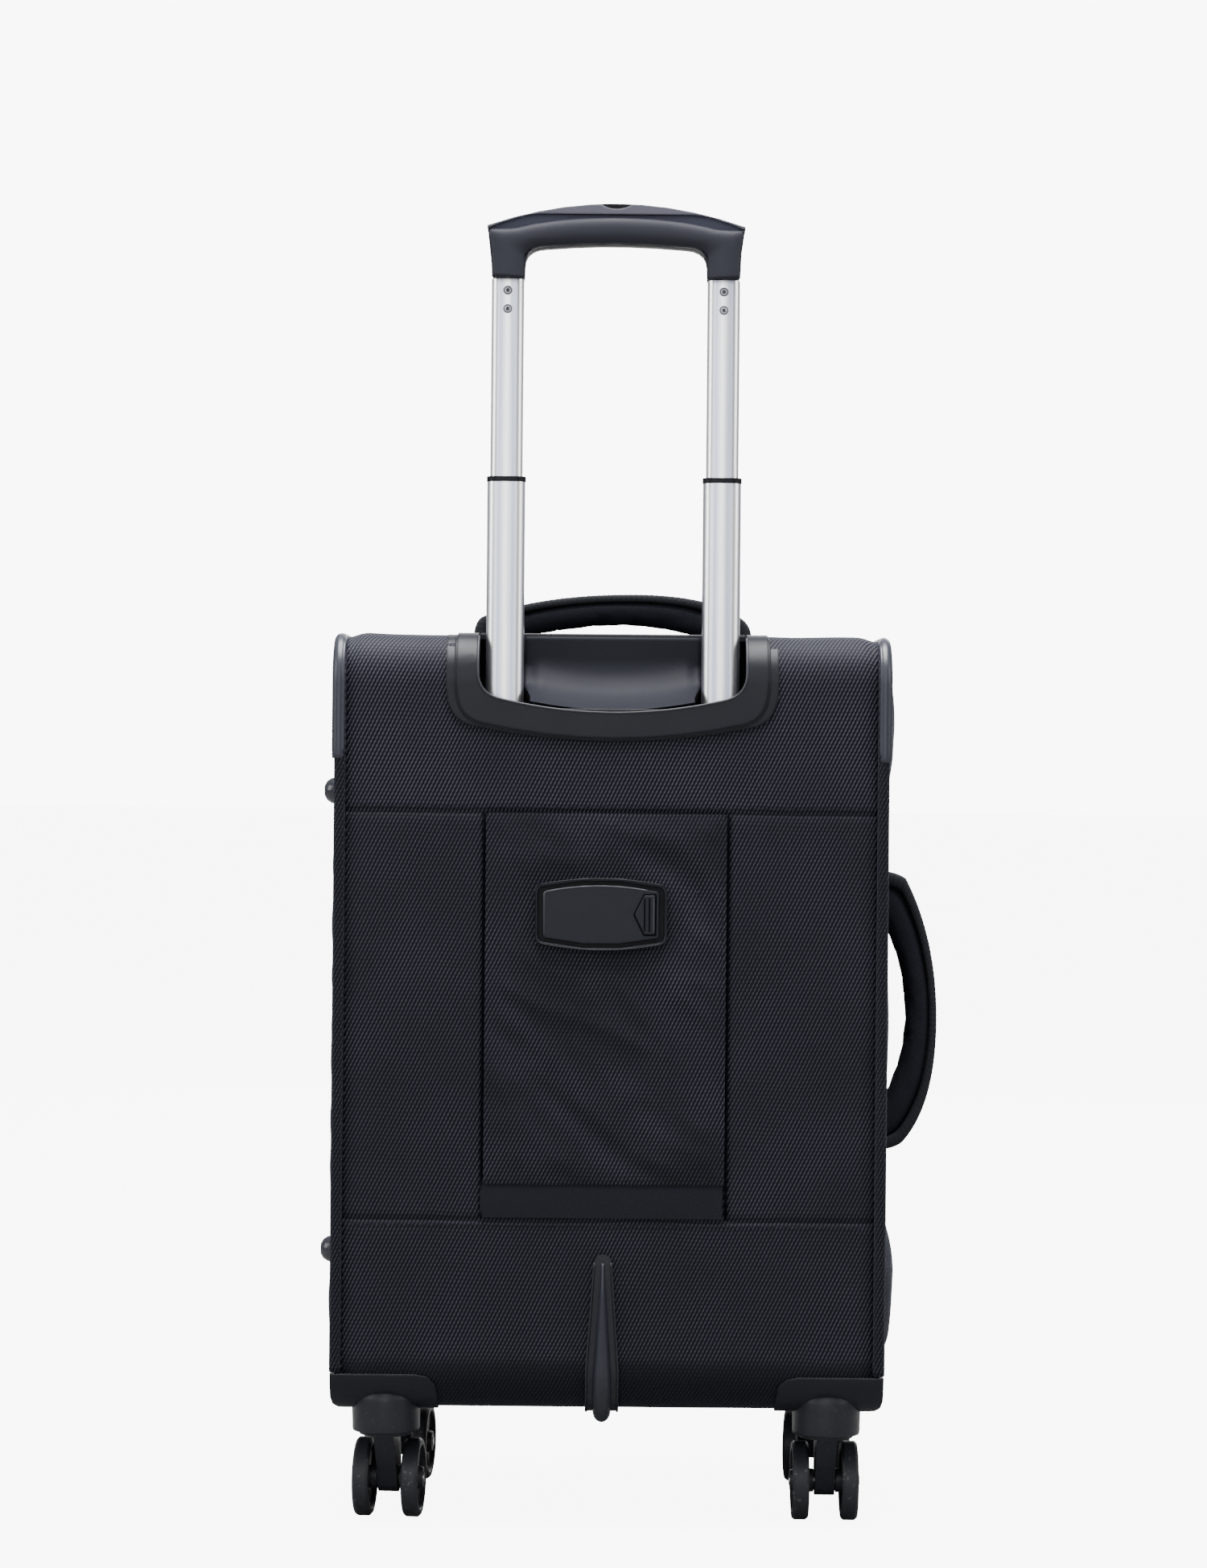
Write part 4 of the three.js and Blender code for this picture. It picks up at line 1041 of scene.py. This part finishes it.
def rim_edge(side, corner, low, inset, sag, off):
    """A run round the recess's U, lying on the case's back and its rounded top edge, off its face."""
    turned_in = low + 2 * sag * inset / (side - inset)
    flat = [(-side, TOP)] + bezier((-side, corner), (-side, turned_in), (-side + inset, low), 8)
    flat += bezier((-side + inset, low), (0, low - 2 * sag), (side - inset, low), 40)
    flat += bezier((side - inset, low), (side, turned_in), (side, corner), 8) + [(side, corner), (side, TOP)]
    path = []
    for x, z in resample(flat, 150):
        rise = max(0.0, z - (TOP - ROUND))
        reach = ROUND + off
        path.append((x, ROUND - math.sqrt(max(0.0, reach**2 - rise**2)), z))
    return path


def recess():
    """The moulded bowl between the tubes in a lighter copy of the recess plastic, near-black plates beside
    the tubes that paint the shade there, and the beads along the rim's edges, the inner and back ones with a
    painted highlight.
    """
    # Painted highlight: the lip's finish, on the inner edge and the back bead, is lighter than the recess
    # plastic.
    lip = moulding("recess_lip_painted_highlight_finish", (0.017, 0.018, 0.0235), 0.42, 0.05, gloss=0.25)
    # Painted light: the bowl wears a lighter, duller copy of the recess plastic.
    bowl = moulding("recess_bowl_painted_light_finish", (0.0106, 0.0112, 0.0152), 0.5, 0.2, gloss=0.045)
    # Painted shade: near-black plates stand behind the bowl's ends by the tubes, where only shade is.
    shade = moulding("tube_gap_shade_finish", (0.0014, 0.0014, 0.0019), 0.8, 0.1, gloss=0.0)
    inner, outer = rim_edge(84.2, 528, 510.6, 14, 8.1, 2.3), rim_edge(97.9, 520, 495.2, 16, 9.0, 1.3)
    behind = [(x, 43.0, TOP + 2.2) for x in ticks(-84, 84, 12)]
    tube("recess_lip", inner, 0.8, "case", "recess_plastic", sides=8, finish=lip)
    tube("recess_step", outer, 1.1, "case", "recess_plastic", sides=8)
    tube("recess_back_bead", behind, 0.9, "case", "recess_plastic", sides=8, finish=lip)
    points, uvs = [], []
    steps, across = 32, 44
    foot = 504.6
    for k in range(steps + 1):
        t = (k / steps) ** 1.6
        y = 1.5 + 39.5 * (1 - (1 - t) ** 3.8)
        z = foot + (TOP + 1 - foot) * t
        half = 51.4 + 4.4 * smooth_step(506.5, 515.5, z)
        for c in range(across + 1):
            x = half * (2 * c / across - 1)
            turn = smooth_step(0.74, 1.0, abs(x) / 56)
            rise = 9.5 * (x / 70.5) ** 2 * (1 - smooth_step(522, 546, z))
            # The ends lie further in, so that the stowed grip doesn't reach them.
            clear = 6.5 * smooth_step(0.8, 0.96, abs(x) / 56) * smooth_step(509, 516, z) * (1 - t)
            points.append((x, min(y - 0.7 - 2.5 * turn * (1 - t) + clear, 39.6), z + rise))
            uvs.append((x, t * 60))
    faces = grid_faces(steps + 1, across + 1)
    walled(piece("recess_bowl", points, faces, "case", "recess_plastic", uvs, finish=bowl), 0.6)
    for side, sign in (("left", -1), ("right", 1)):
        outline = [(56.4, 549), (56.4, 518), (51.6, 505), (84.2, 505), (84.2, 549)]
        points, faces = slab([(sign * x, z) for x, z in outline], 40.6, 41.6)
        if sign > 0:
            faces = flipped(faces)
        piece("tube_gap_shade_" + side, points, faces, "case", "recess_plastic", finish=shade, smooth=False)


def grip_channel():
    """A sheet that fills the groove between the grip's padded half and its cap with painted shade, in one
    flat tone lighter than the grip's plastic.
    """
    crest = 815.8
    over = [(-79, 806.4), (-73, 809.6), (-66, 811.8), (-56, 814.4), (-47, crest)]
    under = [(-79, 803.6), (-72, 803.6), (-64, 803.9), (-54, 806.0), (-44, 808.8)]
    middle = [(x, crest - drop) for x, drop in ((-30, 5.4), (-15, 4.6), (0, 4.4), (15, 4.6), (30, 5.4))]
    upper = over + [(p[0], crest) for p in middle] + [(-x, z) for x, z in reversed(over)]
    lower = under + middle + [(-x, z) for x, z in reversed(under)]
    y = span("grip_body")[0].y + 5.2
    points = [(x, y, z) for x, z in upper] + [(x, y, z) for x, z in lower]
    points += [(p[0], y + 1.2, p[2]) for p in points]
    count = len(upper)
    faces = grid_faces(2, count)
    faces += flipped([2 * count + v for v in face] for face in grid_faces(2, count))
    rim = list(range(count)) + list(range(2 * count - 1, count - 1, -1))
    faces += [(a, b, b + 2 * count, a + 2 * count) for a, b in zip(rim, rim[1:] + rim[:1])]
    # Painted shade, lifted with painted light: one flat tone for the groove in the cap's shadow, lighter than
    # the grip's plastic.
    dark = moulding("grip_channel_painted_shade_finish", (0.075, 0.08, 0.115), 0.6, 0.3, gloss=0.1)
    piece("grip_channel", points, faces, "trolley_upper", "grip_plastic", finish=dark, smooth=False)


def grip_skin():
    """The soft-touch skin over the trolley side of the grip: rounded across the belly and down both legs."""
    low = span("grip_body")[0]
    outer = [(-78.8, GRIP_END), (-79.6, 792), (-81.5, 805.2), (-81.2, 806.3), (-72, 806.3)]
    outer += bezier((-64, 806.6), (-40, 813.6), (0, 813.8), 24)
    inner = [(-57.3, GRIP_END), (-57.1, 781)] + bezier((-57.0, 784), (-56.8, 795.4), (-44, 795.3), 14)
    inner += [(-22, 796.7), (0, 797.2)]
    cuts = (7, 9, 24)

    def sided(path, corner):
        found = resample(path[:corner], cuts[0] + cuts[1])[:-1] + resample(path[corner - 1:], cuts[2])
        return found + [(-x, z) for x, z in reversed(found[:-1])]

    outer = sided(outer + [(0, 813.8)], 5)
    inner = sided(inner, 10)
    across, points, uvs = 16, [], []
    for k, ((ox, oz), (ix, iz)) in enumerate(zip(outer, inner)):
        for c in range(across + 1):
            v = 0.05 + 0.95 * c / across
            out = (1 - abs(2 * v - 1) ** 2.2) ** 0.5
            points.append((ox + (ix - ox) * v, low.y + 3.2 - 4.9 * out, oz + (iz - oz) * v))
            uvs.append((k * 3.0, v * 20))
    faces = flipped(grid_faces(len(outer), across + 1))
    made = piece("grip_skin", points, faces, "trolley_upper", "grip_plastic", uvs, finish=SKIN)
    walled(made, 0.3).offset = -1


def skid_crown():
    """The skid rail's smooth crown, with a painted highlight, and the raised edges of its flange."""
    middle, top, turn = -3, 164, BOTTOM + ROUND
    straight, bend = top - 5 - turn, math.pi / 2 * ROUND
    steps, sides = 60, 16
    points, uvs = [], []
    edges = {-1: [], 1: []}
    for k in range(steps + 1):
        run = (straight + bend + 24) * k / steps
        angle = min(max(run - straight, 0) / ROUND, math.pi / 2)
        y, z = ROUND + max(0, run - straight - bend), turn + max(0, straight - run)
        fade = min(1, k / 10, (steps - k) / 8)
        half = 1.3 + 4.4 * min(1, run / 75) * fade
        high = 2.7 + 5.5 * math.sin(math.pi / 2 * fade)
        for s in range(sides + 1):
            a = math.pi * s / sides
            lift = ROUND + 0.9 + high * math.sin(a) ** 0.8
            across = half * math.cos(a)
            points.append((middle + across, y - lift * math.cos(angle), z - lift * math.sin(angle)))
            uvs.append((across, run))
        spread = 5.2 + 4.6 * min(1, run / straight)
        flat = ROUND + 2.2
        edge_y, edge_z = y - flat * math.cos(angle), z - flat * math.sin(angle)
        for side in edges:
            edges[side].append((middle + side * spread, edge_y, edge_z))
    # Painted highlight: the crown wears a lighter copy of the rail's plastic.
    lit = moulding("skid_crown_painted_highlight_finish", (0.0145, 0.0158, 0.022), 0.38, 0.2, gloss=0.25)
    faces = grid_faces(steps + 1, sides + 1)
    walled(piece("skid_crown", points, faces, "case", "rail_plastic", uvs, finish=lit), 0.4)
    for side, name in ((-1, "left"), (1, "right")):
        tube("skid_edge_" + name, edges[side], 0.8, "case", "rail_plastic", sides=8)


def thumb_pads():
    """Rubber lenses in the cap's thumb notches."""
    low, high = span("grip_cap")
    lens = bezier((-11.6, high.z - 0.2), (0, high.z + 0.3), (11.6, high.z - 0.2), 12)
    lens += bezier((11.6, high.z - 0.2), (0, high.z - 7.4), (-11.6, high.z - 0.2), 12)
    for side, y, turned_to in (("back", low.y + 1.5, -1), ("front", high.y - 1.5, 1)):
        points, faces = slab(lens, y, y - 0.5 * turned_to)
        if turned_to > 0:
            faces = flipped(faces)
        piece("thumb_pad_" + side, points, faces, "trolley_upper", "button_plastic", smooth=False)


def caster_bosses():
    """The boss round each caster's cup: it comes out of the rounded corner and is rounded off at the top."""
    lit = moulding("caster_boss_finish", (0.008, 0.0088, 0.0124), 0.4, 0.5, dust=0.02, gloss=0.2)
    half, reach = 21.3, 27.6  # across the case, and out from the swivel axis
    low, shoulder, dome = 50.0, 70.0, 14.0
    profile = [(low, 0.74), (low, 0.98), (low + 0.5, 0.995), (low + 1.2, 1.0)]
    profile += [(z, 1.0) for z in (56.0, 61.0, 66.0, shoulder)]
    profile += [(shoulder + dome * math.sin(a), math.cos(a)) for a in (k * math.pi / 20 for k in range(1, 9))]
    for name in ("back_left", "back_right", "front_left", "front_right"):
        middle_x = math.copysign(CASTER_X, span("caster_fork_" + name)[0].x)
        outward, middle_y = (-1, CASTER_Y) if name.startswith("back") else (1, DEPTH - CASTER_Y)
        points, uvs = [], []
        for z, share in profile:
            for c in range(33):
                a = math.pi * (c / 32 - 0.5)
                x = middle_x + half * share * math.sin(a)
                y = middle_y + outward * (reach * share * max(0.0, math.cos(a)) ** 0.85 - 1.0)
                points.append((x, y, z))
                uvs.append((x, z))
        faces = grid_faces(len(profile), 33)
        if outward > 0:
            faces = flipped(faces)
        walled(piece("caster_boss_" + name, points, faces, "case", "housing_plastic", uvs, finish=lit), 0.6)


def inside():
    """The lining behind the tubes and the two packing straps."""
    low, high = span("back_lining")
    xs, zs = ticks(low.x, high.x, 12), ticks(low.z, high.z, 12)
    points = [(x, high.y + 0.5 + 0.8 * ripple(x, 0, z, 60, 12), z) for z in zs for x in xs]
    faces = flipped(grid_faces(len(zs), len(xs)))
    made = piece("lining_sheet", points, faces, "case", "lining_cloth", seen_flat(points), ("back_lining",))
    lined(refined(made), 1.2)
    for side in ("left", "right"):
        low, high = span("tie_strap_" + side)
        xs = ticks(low.x, high.x, 6)
        rows = [(low.z, 0.0), (low.z + 2, 0.7), (high.z - 2, 0.7), (high.z, 0.0)]
        points = [(x, high.y - 0.9 + lift + 0.5 * math.sin(x / 19.0), z) for z, lift in rows for x in xs]
        faces = flipped(grid_faces(4, len(xs)))
        cloth = ("case", "handle_webbing", seen_flat(points), ("tie_strap_" + side,))
        lined(piece("packing_strap_" + side, points, faces, *cloth), 1.0, "handle_webbing")


wrap()
side_panel(-1, "side_panel_left")
side_panel(1, "side_panel_right")
patch()
edge_piping()
handle_y = sum(corner.y for corner in span("top_handle")) / 2
handle_z = sum(corner.z for corner in span("side_handle")) / 2
carry_handle("top_grip", "top_handle", 29.6, 15, lambda a, b, c: (a, handle_y + b, TOP + c))
carry_handle("side_grip", "side_handle", 39, 6, lambda a, b, c: (HALF + c, handle_y + b, handle_z - a))
lid_cloth()
pocket("lower_pocket")
pocket("upper_pocket")
zips()
screws()
tag_details()
recess()
grip_channel()
grip_skin()
skid_crown()
thumb_pads()
caster_bosses()
inside()


# ---- Floor, light and camera ----
AROUND = 0.43  # how bright the room is for the object
WHITE = 9.0  # how bright the paper is for the eye


def studio():
    """White paper under the case, an even bright room, and five soft lamps."""
    floor_material, tree, shader = finish_of("floor_paper", (0.22, 0.22, 0.22), 0.9, gloss=0.0)
    rays = tree.nodes.new("ShaderNodeLightPath")
    shader.inputs["Emission Color"].default_value = (1, 1, 1, 1)
    lit = times(tree, rays.outputs["Is Camera Ray"], WHITE - 1.0)
    tree.links.new(lit, shader.inputs["Emission Strength"])
    bpy.ops.mesh.primitive_plane_add(size=60)
    floor = bpy.context.object
    floor.name = "floor"
    floor.data.materials.append(floor_material)
    world = bpy.data.worlds.new("studio")
    scene.world = world
    world.use_nodes = True
    backdrop = world.node_tree.nodes["Background"]
    backdrop.inputs[0].default_value = (1, 1, 1, 1)
    rays = world.node_tree.nodes.new("ShaderNodeLightPath")
    shown = times(world.node_tree, rays.outputs["Is Camera Ray"], WHITE - AROUND, AROUND)
    world.node_tree.links.new(shown, backdrop.inputs[1])
    # Where each lamp stands and looks to in case millimetres, its size in metres and its power.
    lights = {
        "behind_camera": ((-300, -2700, 1100), (0, 0, 420), 1.7, 31),
        "left": ((-2300, -900, 1300), (0, 60, 400), 1.5, 43),
        "right": ((2300, -900, 1300), (0, 60, 400), 1.5, 30),
        "front": ((300, 2900, 1100), (0, 200, 400), 1.9, 45),
        "overhead": ((0, -100, 2400), (0, 60, 300), 1.6, 260),
    }
    for name, (place, target, size, power) in lights.items():
        data = bpy.data.lights.new(name, "AREA")
        data.size = size
        data.energy = power
        lamp = bpy.data.objects.new(name, data)
        lamp.visible_camera = False
        scene.collection.objects.link(lamp)
        lamp.location = at(*place)
        lamp.rotation_euler = (at(*target) - lamp.location).to_track_quat("-Z", "Y").to_euler()


def camera():
    """The photo's view: straight on, slightly turned, with its frame shifted down to the case."""
    distance, height, picture = 2400.0, 477.0, 980.0
    data = bpy.data.cameras.new("photo_camera")
    data.sensor_width = 36
    data.lens = 36 * distance / picture
    data.shift_y = (458.0 - height) / picture
    made = bpy.data.objects.new("photo_camera", data)
    scene.collection.objects.link(made)
    made.location = at(-5.3, -distance, height)
    made.rotation_euler = (math.radians(90), math.radians(-0.5), 0)
    scene.camera = made


studio()
camera()
